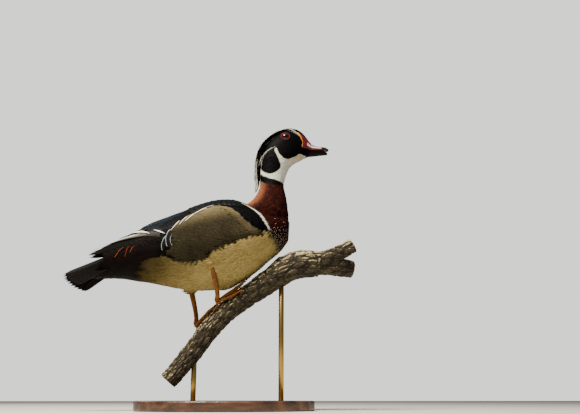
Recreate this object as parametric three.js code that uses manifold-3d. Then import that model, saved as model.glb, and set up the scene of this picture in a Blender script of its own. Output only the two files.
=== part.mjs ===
import * as THREE from 'three';
import { mergeVertices } from 'three/addons/utils/BufferGeometryUtils.js';
import Module from 'manifold-3d';

// A perched drake wood duck at life size, on a cut length of branch that a plain stand holds up.
// Millimetres, +Z up. The bill points along +X, the bird's right side faces -Y, and the floor is z = 0.

const wasm = await Module();
wasm.setup();

const GAP = 0.3; // left between neighbouring pieces
const DEG = Math.PI / 180;
const RIGHT = -1;
const LEFT = 1;

// Trunk: upright cross-sections along X, each [x, top, bottom, half width] over the plumage
const TRUNK = [
  [-225, 229, 204, 9],
  [-195, 239, 201, 17],
  [-165, 254.5, 198, 26],
  [-140, 267, 194.5, 34],
  [-115, 282, 190, 41.5],
  [-90, 293.5, 185.5, 48],
  [-66, 304, 181.5, 53],
  [-42, 314.5, 179.5, 56],
  [-15, 322.5, 180.5, 57.5],
  [10, 324, 184, 57.5],
  [32, 320.5, 196, 55.5],
  [55, 315, 213.5, 51],
  [70, 310, 227, 46.5],
  [101.5, 325, 240, 44],
];
const BREAST = { start: 64, end: 101.5 }; // where the front rounds off
const RUMP = { start: -140, end: -182 }; // where the rear rounds off
const TAIL_CUT = { x: -136, z: 228, tilt: 80 }; // parts the tail from the trunk
const TRUNK_SQUARENESS = { above: 2.2, below: 1.9 };
const WING_BED = 9; // depth of the hollow in the trunk that the folded wings and flanks fill

// Neck and head: ribs from the breast up and over to the bill, each [rib, front x, z, back x, z, half width]
const NECK = [
  [0, 92, 258, 8, 296, 40],
  [1, 100, 288, 22, 311, 38.5],
  [2, 100.5, 312, 36, 322, 32],
  [3, 98, 332, 46, 333.5, 26],
  [4, 94.5, 350, 52.5, 349.5, 21.5],
  [5, 96, 363, 53, 367, 20.3],
  [6, 99.5, 375, 54.5, 388, 20.8],
  [7, 104, 384.5, 57.5, 406, 22],
  [8, 110, 390.5, 65.5, 422.5, 22.8],
  [9, 116, 394.5, 79, 438, 22.6],
  [10, 122, 397.5, 95, 448, 21.2],
  [11, 127, 400.5, 110, 451.5, 18.4],
  [12, 131, 402.5, 121.5, 446.5, 15.4],
  [13, 134.5, 404.5, 130.5, 437, 12],
  [14, 137, 406.5, 137, 428, 9],
];
const HEAD_CUT = { x: 76, z: 374.5, tilt: 11 }; // parts the head from the neck

// Bill: [x, culmen or keel z, edge z, half width]
const UPPER_BILL = [
  [121, 428, 413.5, 8],
  [130, 429, 413.6, 9.4],
  [136, 427.2, 413.8, 9.8],
  [142, 424, 414, 9.4],
  [148, 422.3, 414.4, 8.9],
  [156, 422, 415, 8.6],
  [163, 421, 416.2, 8.1],
  [168, 418, 416.2, 6.5],
];
const LOWER_BILL = [
  [120, 405, 412.9, 7.6],
  [132, 404.5, 412.9, 8.4],
  [144, 406, 413.5, 8],
  [156, 408, 414.2, 7.5],
  [166, 409, 411.8, 6.2],
];
const BILL_ROOT = 131; // how far back the upper mandible runs under the forehead
const BILL_TIP = { from: 155, upper: 168, lower: 166 };
const NOSTRIL = { x: 142.5, y: 7.6, z: 420.6, radii: [3, 2, 1.2] };
// Side shields of the bill that run up beside the forehead, outlined in side view
const SHIELD = [
  [113.5, 440],
  [118.5, 441],
  [126, 434.5],
  [134, 428],
  [139, 425],
  [139, 414.5],
  [120.8, 414.5],
  [122, 424],
  [118, 433],
];
const SHIELD_RISE = 0.8;
const FOREHEAD_HALF = 4.5; // half width of the feathered forehead between the shields

// Eye: the ball sits in the side of the head inside a fleshy ring
const EYE = { x: 93.5, z: 431.6, radius: 7.6, sunk: 5 };
const LID = { radius: 6.7, tube: 1.7, long: 1.07, high: 0.98 };

// Branch: its axis [x, y, z, radius], then the two cut forks
const BRANCH = [
  [-80, 2, 43, 14.5],
  [-55, 1, 72, 15.5],
  [-33, -1, 103, 16],
  [-13, -3, 129, 16.3],
  [16, -6, 156, 17],
  [52, -10, 182.5, 18.5],
  [76, -13, 198.5, 20.3],
  [98, -16, 214.5, 22.2],
  [122, -18, 221.7, 22.8],
  [146, -17, 221.4, 20.5],
];
const FORK_LOW = [
  [126, -17, 221, 17],
  [160, -14, 221, 17],
  [184, -11, 218.5, 15.2],
  [202, -9, 216, 14.6],
];
const FORK_HIGH = [
  [130, -18, 223, 14],
  [155, -22, 229.5, 13.5],
  [180, -26, 239.5, 12.6],
  [200, -29, 251, 12],
];

// Stand: an oval slab and two rods
const BASE = { length: 270, width: 170, height: 15, bevel: 1.5, x: 6 };
const RODS = { radius: 4, bed: 9, rear: { x: -42, y: -1 }, front: { x: 88, y: -15 } };
const ROD_REACH = 10; // how far a rod enters the branch

// Feathers. Lanes run along the trunk, in degrees from its top, and tips and starts are places along it.
// A spread is a width in degrees, and a lift the height over the plumage at root, middle and tip.
const VANE_THICKNESS = 0.8;
const THIN_VANE = 0.7;
const VARIATION = 0.03; // how much widths differ from feather to feather
const STACK = 1.05; // from one stacked vane to the next
const FLANK_VANE = {
  lanes: [36, 52, 68, 84, 99.5],
  spread: 15.2,
  length: 54,
  spacing: 30,
  shortest: 20,
  lift: [-4.6, -2.1, -0.5],
};
const SCAPULAR = {
  lanes: [12.6, 22.2],
  tips: [-62, -36, -10],
  spread: 8.9,
  length: 46,
  lift: [-7.9, -3.2, -0.5],
};
const TERTIAL = {
  lanes: [13, 23, 33],
  tips: [-128, -124, -117],
  starts: [-46, -46, -46],
  spread: 9.2,
  lift: [-8, -3, -0.6],
};
const SECONDARY = {
  lanes: [42.5, 51.5, 60.5],
  tips: [-131, -120, -110],
  starts: [-50, -58, -64],
  spread: 8.2,
  lift: [-8, -4, -0.8],
};
const FRONT_INSET = 3; // how far the first feathers start behind the front edge
const PRIMARY = {
  tips: [[-205, 47], [-196, 38], [-187, 32], [-177, 26], [-166, 21], [-155, 16]], // [x, degrees], lowest first
  start: -90,
  first: 61, // degrees at which the lowest starts, and from it to the next
  step: 7.2,
  spread: 6.6,
  lift: [-8.6, -7.4, -5.8],
  stack: [0.6, 1, 1],
  root: { from: -87, to: -108, low: 19, high: 66, topInner: -4.6, topOuter: -7.3 },
};
// Tail: a roof-shaped fan of paired feathers, laid out in mm along the ridge and down the slope
const TAIL = { root: [-148, 0, 245], fall: 24, slope: 38, length: 104 };
const RECTRIX = { pairs: 7, spread: 12, inner: 6.6, rootStep: 1.2, tipStep: 5, shorter: 2.2, curve: 1.35 };
const TAIL_COVERT = {
  lanes: [11, 31],
  tips: [-192, -184],
  starts: [-146, -146],
  spread: 18,
  lift: [-11, -10, -8.4],
};
const UNDER_COVERT = {
  lanes: [169.5, 149],
  tips: [-212, -196],
  starts: [-141, -141],
  spread: 18,
  lift: [-4, 4, 12.5],
};
// Crest: a low core on the back of the head, and tiers of narrow feathers. A tier says where its feathers start
// and, in the middle, end, how much sooner each lane outward ends, and how far out it reaches.
const CREST = { spread: 12, lane: 13, thickness: 0.6, variation: 0.15, clear: 0.9 };
const CREST_CORE = { from: 10.7, to: 6.9, half: 42, top: [[6.9, 4], [9, 3], [10.7, 2.1]] };
const CREST_TIERS = [
  { start: 10.4, end: 6.6, sooner: 0.25, outer: 2, lift: [1.6, 4.6, 7.4] },
  { start: 9.1, end: 4.7, sooner: 0.3, outer: 3, lift: [1.7, 4.4, 7.9] },
  { start: 7.7, end: 3.4, sooner: 0.45, outer: 3, lift: [2.1, 3.6, 6.3] },
];

const MATERIALS = {
  chestnut: { color: 0x4a1712, roughness: 0.85, metalness: 0 },
  cream: { color: 0xd8cfae, roughness: 0.9, metalness: 0 },
  black: { color: 0x0b0d12, roughness: 0.55, metalness: 0 },
  glossBlack: { color: 0x0c1620, roughness: 0.4, metalness: 0.1 },
  olive: { color: 0x6d6248, roughness: 0.85, metalness: 0 },
  billRed: { color: 0x7c1a22, roughness: 0.4, metalness: 0 },
  billBlack: { color: 0x101012, roughness: 0.4, metalness: 0 },
  eye: { color: 0x2a0505, roughness: 0.08, metalness: 0 },
  lid: { color: 0x9c1216, roughness: 0.55, metalness: 0 },
  leg: { color: 0xa8672c, roughness: 0.6, metalness: 0 },
  claw: { color: 0x16120f, roughness: 0.45, metalness: 0 },
  bark: { color: 0x8f8268, roughness: 0.95, metalness: 0 },
  walnut: { color: 0x4c3322, roughness: 0.45, metalness: 0 },
  brass: { color: 0xb08d4c, roughness: 0.35, metalness: 1 },
};

const duck = new THREE.Group();

// Small helpers

const mix = THREE.MathUtils.lerp;
const smooth = THREE.MathUtils.smoothstep;

// Repeatable random numbers from -1 to 1
let seed = 7;
function vary() {
  seed = (seed * 16807) % 2147483647;
  return (2 * seed) / 2147483647 - 1;
}

// A smooth function through rows whose first number is the place and the rest the values there
function through(rows) {
  const places = Float32Array.from(rows, (row) => row[0]);
  const values = Float32Array.from(rows.flatMap((row) => row.slice(1)));
  const cubic = new THREE.CubicInterpolant(places, values, rows[0].length - 1);
  return (place) => Array.from(cubic.evaluate(place));
}

function solid(geometry) {
  const bare = geometry.clone();
  bare.deleteAttribute('normal');
  bare.deleteAttribute('uv');
  const merged = mergeVertices(bare, 1e-4);
  const vertProperties = merged.attributes.position.array;
  const triVerts = Uint32Array.from(merged.index.array);
  const facing = (triangles) =>
    new wasm.Manifold(new wasm.Mesh({ numProp: 3, vertProperties, triVerts: triangles }));
  const first = facing(triVerts);
  // A shape bent by a mirrored surface comes out with its faces inward
  return first.volume() > 0 ? first : facing(triVerts.reverse());
}

function largest(shape) {
  return shape.decompose().reduce((most, part) => (part.volume() > most.volume() ? part : most));
}

const fuse = (shapes) => shapes.reduce((whole, shape) => whole.add(shape));
const clear = (shape, others) => others.reduce((rest, other) => rest.subtract(other), shape);

function place(name, shape, material) {
  const { vertProperties, triVerts } = largest(shape).getMesh();
  const geometry = new THREE.BufferGeometry();
  geometry.setAttribute('position', new THREE.BufferAttribute(vertProperties, 3));
  geometry.setIndex(new THREE.BufferAttribute(triVerts, 1));
  geometry.computeVertexNormals();
  const mesh = new THREE.Mesh(geometry, new THREE.MeshStandardMaterial(MATERIALS[material]));
  mesh.name = name;
  duck.add(mesh);
}

const sided = (name, side) => `${name}_${side === LEFT ? 'left' : 'right'}`;

// Points of a closed oval, squared off above 2
function oval(angle, half, squareness) {
  const s = Math.sin(angle);
  const c = Math.cos(angle);
  return {
    across: half * Math.sign(s) * Math.abs(s) ** (2 / squareness),
    up: Math.sign(c) * Math.abs(c) ** (2 / squareness),
  };
}

// A surface is a function (u, angle) => point. This gives the point that stands `height` above it.
function above(surface, u, angle, height) {
  const point = surface(u, angle);
  return point.addScaledVector(normal(surface, u, angle), height);
}

function normal(surface, u, angle) {
  const along = surface(u + 0.01, angle).sub(surface(u - 0.01, angle));
  const around = surface(u, angle + 0.001).sub(surface(u, angle - 0.001));
  return along.cross(around).normalize();
}

// A closed body over a surface, with a ring at each station and flat or vanishing ends
function bodyOver(surface, stations, around, height = () => 0) {
  const rows = stations.length + 1;
  const geometry = new THREE.SphereGeometry(1, around, rows);
  const { position, uv } = geometry.attributes;
  for (let i = 0; i < position.count; i++) {
    const row = Math.round((1 - uv.getY(i)) * rows);
    const station = stations[THREE.MathUtils.clamp(row - 1, 0, rows - 2)];
    const angle = Math.round(uv.getX(i) * around) * ((2 * Math.PI) / around);
    const raised = (turn) => above(surface, station, turn, height(station, turn));
    const isEnd = row === 0 || row === rows;
    const point = isEnd ? raised(0).lerp(raised(Math.PI), 0.5) : raised(angle);
    position.setXYZ(i, ...point);
  }
  return solid(geometry);
}

// A plate as one closed body: point(t, v, face) gives its corners, t from root to tip, v from -1 to 1 across,
// face 1 above and -1 below. Both faces are split into triangles alike.
function plate(point, steps, columns) {
  const corners = [];
  const index = [];
  const at = (row, column, face) => 2 * (row * (columns + 1) + column) + (face > 0 ? 0 : 1);
  const quad = (a, b, c, d) => index.push(a, b, c, a, c, d);
  for (let row = 0; row <= steps; row++) {
    for (let column = 0; column <= columns; column++) {
      const v = (2 * column) / columns - 1;
      corners.push(...point(row / steps, v, 1), ...point(row / steps, v, -1));
    }
  }
  for (let row = 0; row < steps; row++) {
    for (let column = 0; column < columns; column++) {
      const [a, b] = [at(row, column, 1), at(row + 1, column, 1)];
      const [c, d] = [at(row + 1, column + 1, 1), at(row, column + 1, 1)];
      quad(a, b, c, d);
      index.push(a + 1, c + 1, b + 1, a + 1, d + 1, c + 1);
    }
    quad(at(row, 0, 1), at(row, 0, -1), at(row + 1, 0, -1), at(row + 1, 0, 1));
    quad(at(row, columns, 1), at(row + 1, columns, 1), at(row + 1, columns, -1), at(row, columns, -1));
  }
  for (let column = 0; column < columns; column++) {
    quad(at(0, column, 1), at(0, column + 1, 1), at(0, column + 1, -1), at(0, column, -1));
    quad(at(steps, column + 1, 1), at(steps, column, 1), at(steps, column, -1), at(steps, column + 1, -1));
  }
  const geometry = new THREE.BufferGeometry();
  geometry.setAttribute('position', new THREE.Float32BufferAttribute(corners, 3));
  geometry.setIndex(index);
  return solid(geometry);
}

// A plate laid on a surface between two heights: edge(t, v) gives [u, degrees] of each of its corners
function layer(surface, side, edge, low, high, steps, columns) {
  return plate(
    (t, v, face) => {
      const [u, degrees] = edge(t, v);
      const height = face > 0 ? high(t, v) : low(t, v);
      return above(surface, u, side * degrees * DEG, height);
    },
    steps,
    columns,
  );
}

// A feather's vane laid on a surface from one [u, degrees] to another
const FULLNESS = through([[0, 0.62], [0.35, 0.96], [0.65, 1], [0.87, 0.84], [1, 0.4]]);
const TIP_SWEEP = 0.07; // how far the corners of a tip lie behind its middle, as a share of the length

function vane(surface, side, { from, to, spread, lift, thickness = VANE_THICKNESS, steps = 2, columns = 2 }) {
  const height = through([[0, lift[0]], [0.5, lift[1]], [1, lift[2]]]);
  const full = spread * (1 - VARIATION * Math.abs(vary()));
  const edge = (t, v) => {
    const reach = t - TIP_SWEEP * v * v * t ** 4;
    return [mix(from[0], to[0], reach), mix(from[1], to[1], t) + (v * full * FULLNESS(t)[0]) / 2];
  };
  const face = (which) => (t) => height(t)[0] + (which * thickness) / 2;
  return layer(surface, side, edge, face(-1), face(1), steps, columns);
}

// Trunk

const trunkSection = through(TRUNK);

function trunkSurface(x, angle) {
  const [top, bottom, half] = trunkSection(x);
  const front = THREE.MathUtils.clamp((x - BREAST.start) / (BREAST.end - BREAST.start), 0, 0.9999);
  const shrink = Math.sqrt(1 - front * front);
  const squareness = Math.cos(angle) > 0 ? TRUNK_SQUARENESS.above : TRUNK_SQUARENESS.below;
  const { across, up } = oval(angle, half * shrink, squareness);
  return new THREE.Vector3(x, across, (top + bottom) / 2 + ((top - bottom) / 2) * shrink * up);
}

// The trunk's own surface also rounds off at the rump, inside the feathers of the tail
function fleshSurface(x, angle) {
  const point = trunkSurface(x, angle);
  const rear = THREE.MathUtils.clamp((RUMP.start - x) / (RUMP.start - RUMP.end), 0, 0.9999);
  const shrink = Math.sqrt(1 - rear * rear);
  const [top, bottom] = trunkSection(x);
  const middle = (top + bottom) / 2;
  return new THREE.Vector3(x, point.y * shrink, middle + (point.z - middle) * shrink);
}

// Places from one end to the other, closer together near both
const arc = (from, to, count) =>
  Array.from({ length: count }, (_, i) => mix(from, to, 0.5 - 0.5 * Math.cos((Math.PI * i) / (count - 1))));
const TRUNK_STATIONS = arc(RUMP.end + 0.6, BREAST.end - 0.3, 18);

function flesh(grow) {
  return bodyOver(fleshSurface, TRUNK_STATIONS, 20, () => grow);
}

// Neck and head

const neckRib = through(NECK);

function neckSurface(rib, angle) {
  const [frontX, frontZ, backX, backZ, half] = neckRib(rib);
  const { across, up } = oval(angle, half, mix(2.1, 2.45, smooth(rib, 6, 8)));
  const x = (frontX + backX) / 2 + ((backX - frontX) / 2) * up;
  return new THREE.Vector3(x, across, (frontZ + backZ) / 2 + ((backZ - frontZ) / 2) * up);
}

const NECK_STATIONS = [0, 1.1, 2.2, 3.3, 4.3, 5.2, 6, 6.8, 7.5, 8.2, 8.9, 9.6, 10.3, 11, 11.7, 12.4, 13.2, 14];

function neckAndHead(grow) {
  return bodyOver(neckSurface, NECK_STATIONS, 18, () => grow);
}

// A wide thin slab, or a block on one side of it, for parting a body
function slab({ x, z, tilt }, thickness, shift = 0) {
  const geometry = new THREE.BoxGeometry(300, 300, thickness);
  geometry.translate(0, 0, shift);
  geometry.rotateY(tilt * DEG);
  geometry.translate(x, 0, z);
  return solid(geometry);
}

// Bill

// One mandible: rounded outside, flat along the mouth, rounded in plan at its tip
function billSurface(rows, end, outward) {
  const section = through(rows);
  return (x, angle) => {
    const [outer, edge, half] = section(x);
    const t = THREE.MathUtils.clamp((x - BILL_TIP.from) / (end - BILL_TIP.from), 0, 0.9999);
    const s = Math.sin(angle);
    const bulge = Math.max(0, outward * Math.cos(angle)) ** 0.8;
    const across = half * Math.sqrt(1 - t ** 3) * Math.sign(s) * Math.abs(s) ** 0.8;
    return new THREE.Vector3(x, across, edge + (outer - edge) * bulge);
  };
}

const upperBill = billSurface(UPPER_BILL, BILL_TIP.upper, 1);
const lowerBill = billSurface(LOWER_BILL, BILL_TIP.lower, -1);

function mandible(surface, from, to, grow) {
  return bodyOver(surface, arc(from - grow, to - 0.15 + grow / 2, 9), 12, () => grow);
}

function ellipsoid(x, y, z, radii, around = 12, rows = 8) {
  const geometry = new THREE.SphereGeometry(1, around, rows);
  return solid(geometry.scale(...radii).translate(x, y, z));
}

// The shields are the head itself inside their outline, raised a little, beside the feathered forehead
function shields(grow) {
  const outline = new THREE.Shape(SHIELD.map(([x, z]) => new THREE.Vector2(x, z)));
  const prism = new THREE.ExtrudeGeometry(outline, {
    depth: 80,
    bevelEnabled: grow > 0,
    bevelSize: grow,
    bevelThickness: grow,
    bevelSegments: 1,
  });
  prism.translate(0, 0, -40).rotateX(Math.PI / 2);
  const wedge = new THREE.BoxGeometry(40, 2 * (FOREHEAD_HALF - grow), 40).translate(125, 0, 440);
  return neckAndHead(SHIELD_RISE + grow).intersect(solid(prism)).subtract(solid(wedge));
}

const nail = (grow) => ellipsoid(165.6, 0, 417.4, [2.7 + grow, 3.4 + grow, 2.9 + grow]);
const upperMandible = (grow) =>
  fuse([mandible(upperBill, BILL_ROOT, BILL_TIP.upper, grow), nail(grow), shields(grow)]);
const lowerMandible = (grow) => mandible(lowerBill, LOWER_BILL[0][0], BILL_TIP.lower, grow);

// Eyes: where a point in side view lies on the side of the head

function onHead(x, z) {
  let [rib, angle] = [9.5, 70 * DEG];
  for (let i = 0; i < 12; i++) {
    const here = neckSurface(rib, angle);
    const byRib = neckSurface(rib + 0.01, angle).sub(here).divideScalar(0.01);
    const byAngle = neckSurface(rib, angle + 0.001).sub(here).divideScalar(0.001);
    const turn = byRib.x * byAngle.z - byAngle.x * byRib.z;
    const [dx, dz] = [x - here.x, z - here.z];
    rib += (dx * byAngle.z - byAngle.x * dz) / turn;
    angle += (byRib.x * dz - dx * byRib.z) / turn;
  }
  return [rib, angle];
}

const eyeSpot = onHead(EYE.x, EYE.z);
const eyeFacing = normal(neckSurface, ...eyeSpot).lerp(new THREE.Vector3(0, 1, 0), 0.5).normalize();
const eyeRim = neckSurface(...eyeSpot);
const toSide = (point, side) => new THREE.Vector3(point.x, side * point.y, point.z);

function eyeball(side, grow) {
  const centre = toSide(eyeRim.clone().addScaledVector(eyeFacing, -EYE.sunk), side);
  return ellipsoid(...centre, Array(3).fill(EYE.radius + grow), 12, 8);
}

function lidRing(side, grow) {
  const ring = new THREE.TorusGeometry(LID.radius, LID.tube + grow, 5, 12);
  ring.scale(LID.long, LID.high, 1);
  const facing = toSide(eyeFacing, side);
  const right = new THREE.Vector3(0, 0, 1).cross(facing).normalize();
  const basis = new THREE.Matrix4().makeBasis(right, facing.clone().cross(right), facing);
  return solid(ring.applyMatrix4(basis.setPosition(toSide(eyeRim, side))));
}

// Limbs: a round tapering body along a smooth path, with a radius at each of its points

function limb(points, radii, around, steps, grow = 0, flatten = 1) {
  const path = new THREE.CatmullRomCurve3(points);
  const frames = path.computeFrenetFrames(steps, false);
  const radius = through(radii.map((r, i) => [i / (radii.length - 1), r]));
  const geometry = new THREE.SphereGeometry(1, around, steps + 2);
  const { position, uv } = geometry.attributes;
  for (let i = 0; i < position.count; i++) {
    const row = Math.round((1 - uv.getY(i)) * (steps + 2));
    const ring = THREE.MathUtils.clamp(row - 1, 0, steps);
    const isEnd = row === 0 || row === steps + 2;
    const angle = Math.round(uv.getX(i) * around) * ((2 * Math.PI) / around);
    const reach = isEnd ? 0 : radius(ring / steps)[0] + grow;
    const point = path.getPoint(ring / steps);
    point.addScaledVector(frames.tangents[ring], ring === 0 ? -grow : ring === steps ? grow : 0);
    point.addScaledVector(frames.normals[ring], reach * Math.cos(angle));
    point.addScaledVector(frames.binormals[ring], reach * flatten * Math.sin(angle));
    position.setXYZ(i, ...point);
  }
  return solid(geometry);
}

// Branch

function branchSurface(rows) {
  const axis = through(rows.map((row, i) => [i, ...row]));
  const bark = (u, angle) => 0.55 * Math.sin(3 * angle + 2.1 * u) + 0.45 * Math.sin(5 * angle - 5.3 * u);
  return (u, angle) => {
    const [x, y, z, radius] = axis(u);
    const ahead = axis(u + 0.02);
    const behind = axis(u - 0.02);
    const along = new THREE.Vector3(...[0, 1, 2].map((i) => ahead[i] - behind[i])).normalize();
    const across = new THREE.Vector3(0, 1, 0).addScaledVector(along, -along.y).normalize();
    const up = along.clone().cross(across);
    const reach = radius + bark(u, angle);
    const point = new THREE.Vector3(x, y, z).addScaledVector(up, reach * Math.cos(angle));
    return point.addScaledVector(across, reach * Math.sin(angle));
  };
}

const even = (from, to, count) => Array.from({ length: count }, (_, i) => mix(from, to, i / (count - 1)));
const branchTop = branchSurface(BRANCH);

function rod(end, from, to, radius) {
  const geometry = new THREE.CylinderGeometry(radius, radius, to - from, 16);
  return solid(geometry.rotateX(Math.PI / 2).translate(end.x, end.y, (from + to) / 2));
}

// Height at which a rod's axis meets the underside of the branch
function undersideAt(x) {
  let u = 4;
  for (let i = 0; i < 20; i++) u += (x - branchTop(u, Math.PI).x) / 35;
  return branchTop(u, Math.PI).z;
}

const rods = { stand_rod_rear: RODS.rear, stand_rod_front: RODS.front };

function perch(grow) {
  const stem = bodyOver(branchTop, even(0, BRANCH.length - 1, 18), 12, () => grow);
  const low = bodyOver(branchSurface(FORK_LOW), even(0, FORK_LOW.length - 1, 5), 10, () => grow);
  const high = bodyOver(branchSurface(FORK_HIGH), even(0, FORK_HIGH.length - 1, 5), 10, () => grow);
  return fuse([stem, low, high]);
}

// Legs and feet

// Places on the branch are [u along it, degrees from its top]
const FEET = {
  [RIGHT]: { ankle: [3.66, -30], heel: [-21, -43, 214], hip: [-14, -25, 236] },
  [LEFT]: { ankle: [2.47, 30], heel: [-51, 29, 184], hip: [-38, 28, 210] },
};
// Toes: reach along the branch and turn round it, both from the ankle, in u and degrees
const TOES = [
  { along: 0.94, turn: -46, radius: 2.5 },
  { along: 1.12, turn: -7, radius: 2.8 },
  { along: 0.86, turn: 30, radius: 2.5 },
];
const HIND_TOE = { along: -0.36, turn: 8, radius: 1.9 };
const ANKLE_RISE = 8.5;
const SOLE = 0.9; // clearance of the foot over the bark
const WEB_THICKNESS = 1.3;
const CLAW_SHARE = 0.2; // length of a claw as a share of its toe

const onBranch = (u, degrees, height) => above(branchTop, u, degrees * DEG, height);

// A toe's middle line, past its end for the claw; it leaves the ankle high and comes down to the bark
function toeLine(side, toe) {
  const [u, degrees] = FEET[side].ankle;
  return (t) => {
    const spread = Math.sin(Math.min(t, 1.4) * 65 * DEG) / Math.sin(65 * DEG);
    const height = toe.radius + SOLE + 3.2 * Math.max(0, 1 - 2.2 * t) ** 1.5;
    return [u + toe.along * t, degrees - side * -1 * toe.turn * spread, height];
  };
}

const tapered = (toe, t) => toe.radius * (1 - 0.32 * t);

function toeBody(side, toe) {
  const line = toeLine(side, toe);
  const shares = even(0, 1, 6);
  const points = shares.map((t) => onBranch(...line(t)));
  return limb(points, shares.map((t) => tapered(toe, t)), 6, 4);
}

function claw(side, toe) {
  const line = toeLine(side, toe);
  const length = onBranch(...line(0)).distanceTo(onBranch(...line(1)));
  const start = 1 + (3 * GAP) / length;
  const points = even(0, 1, 4).map((t) => {
    const [u, degrees, height] = line(start + CLAW_SHARE * t);
    return onBranch(u, degrees, height + 1.1 * Math.sin(Math.PI * t) - 0.95 * t);
  });
  return limb(points, even(0.6, 0.16, 4).map((share) => share * toe.radius), 5, 3);
}

function web(side, first, second) {
  const [a, b] = [toeLine(side, first), toeLine(side, second)];
  return plate(
    (t, v, face) => {
      const reach = mix(0.12, 0.9 - 0.2 * (1 - v * v), t);
      const [p, q] = [a(reach), b(reach)];
      const share = (v + 1) / 2;
      const height = SOLE + WEB_THICKNESS / 2 + (face * WEB_THICKNESS) / 2;
      return onBranch(mix(p[0], q[0], share), mix(p[1], q[1], share), height + 2.4 * Math.max(0, 0.4 - t));
    },
    3,
    3,
  );
}

const point = (at) => new THREE.Vector3(...at);
const anklePoint = (side) => onBranch(...FEET[side].ankle, ANKLE_RISE);

function shank(side, grow) {
  const [ankle, heel] = [anklePoint(side), point(FEET[side].heel)];
  const bow = new THREE.Vector3(2.2, 0, 0);
  const middle = ankle.clone().lerp(heel, 0.5).add(bow);
  return limb([ankle, ankle.clone().lerp(heel, 0.16).add(bow), middle, heel], [4.3, 3.7, 3.9, 4.9], 9, 6, grow);
}

function thigh(side, grow) {
  const [heel, hip] = [point(FEET[side].heel), point(FEET[side].hip)];
  const above = heel.clone().lerp(hip, -0.1);
  return limb([above, heel.clone().lerp(hip, 0.35), hip], [6.4, 10, 16], 10, 4, grow);
}

function foot(side) {
  const [u, degrees] = FEET[side].ankle;
  const ankle = onBranch(u, degrees, ANKLE_RISE - 2.5);
  const knuckle = ellipsoid(...ankle, [5, 4.6, 4.6], 8, 5);
  const toes = [...TOES, HIND_TOE].map((toe) => toeBody(side, toe));
  const webs = [web(side, TOES[0], TOES[1]), web(side, TOES[1], TOES[2])];
  return clear(fuse([knuckle, ...toes, ...webs]), [shank(side, GAP)]);
}

// Folded wing and flank: outlines on the trunk, where they start and end by the degrees from its top

const flankFront = through([[20, 27], [44, 41], [63, 54], [78, 62], [88, 66], [112, 60]]);
const flankRear = through([[28, -40], [50, -78], [60, -85], [70, -91], [80, -95], [92, -96], [102, -92]]);
const wingRear = through([[8, -108], [25, -126], [42, -131], [55, -119], [70, -106]]);
const FLANK = { top: 27.6, low: 108, floorOverWing: -5.1, stepsDown: [74, 86] };
const WING = { top: 8, low: 70, ceiling: -7.1, shorter: 46 };
const LIP = 0.12; // share of a core along which its front edge comes up to the breast
const LIP_TOP = -0.6;
const CORE_TOP = -3.4;

// A point of an outline: grown all round, and `shorter` at the rear
const outline = (part, front, rear, grow, shorter) => (t, v) => {
  const degrees = mix(part.top - grow, part.low + grow, (v + 1) / 2);
  return [mix(front(degrees)[0] + grow, rear(degrees)[0] - grow + shorter, t), degrees];
};
const flankEdge = (grow, shorter = 0) => outline(FLANK, flankFront, flankRear, grow, shorter);
const wingEdge = (grow, shorter = 0) => outline(WING, flankFront, wingRear, grow, shorter);

// The flank lies over the wing, and below it on the trunk itself
const flankFloor = (grow) => (t, v) => {
  const degrees = flankEdge(grow)(t, v)[1];
  return mix(FLANK.floorOverWing, -WING_BED, smooth(degrees, ...FLANK.stepsDown)) - grow;
};

// Room for the primaries behind the wing
const primaryTop = through([[-205, 36], [-175, 15], [-150, 9], [-100, 9]]);
const primaryLow = through([[-205, 52], [-182, 61], [-159, 69], [-129, 73], [-100, 70]]);
const PRIMARY_FLOOR = -7.8;
const primaryEdge = (grow) => (t, v) => {
  const x = mix(-100, -205 - grow, t);
  return [x, mix(primaryTop(x)[0] - 2 * grow, primaryLow(x)[0] + 2 * grow, (v + 1) / 2)];
};

// The hollow in the trunk that the folded wing and the flank's feathers fill
const BED_OPEN = 6;
const BED_GAP = 1.4; // a little more than the gap, as both are faceted

function bed(side) {
  const cut = (edge, low, steps, columns) =>
    layer(trunkSurface, side, edge, low, () => BED_OPEN, steps, columns);
  return fuse([
    cut(flankEdge(BED_GAP), flankFloor(BED_GAP), 8, 5),
    cut(wingEdge(BED_GAP), () => -WING_BED - BED_GAP, 8, 4),
    cut(primaryEdge(BED_GAP), () => PRIMARY_FLOOR - BED_GAP, 5, 3),
  ]);
}

const lip = (t) => mix(LIP_TOP, CORE_TOP, smooth(t, 0, LIP));

// One feather of a kind on the trunk, along its lane
const onTrunk = (side, kind, start, tip, degrees, shape = {}) =>
  vane(trunkSurface, side, { ...kind, from: [start, degrees], to: [tip, degrees], ...shape });

// A row of feathers, one to each lane
const row = (side, kind, shape) =>
  kind.lanes.map((degrees, i) => onTrunk(side, kind, kind.starts[i], kind.tips[i], degrees, shape));

function flank(side) {
  const core = layer(trunkSurface, side, flankEdge(0, FLANK_VANE.length / 2), flankFloor(0), lip, 6, 5);
  const vanes = FLANK_VANE.lanes.flatMap((degrees) => {
    const front = flankFront(degrees)[0] - FRONT_INSET;
    const lane = [];
    for (let tip = flankRear(degrees)[0] + 1; tip < front - FLANK_VANE.shortest; tip += FLANK_VANE.spacing) {
      const start = Math.min(tip + FLANK_VANE.length, front);
      lane.push(onTrunk(side, FLANK_VANE, start, tip + Math.abs(vary()), degrees));
    }
    return lane;
  });
  return fuse([core, ...vanes]);
}

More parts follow.
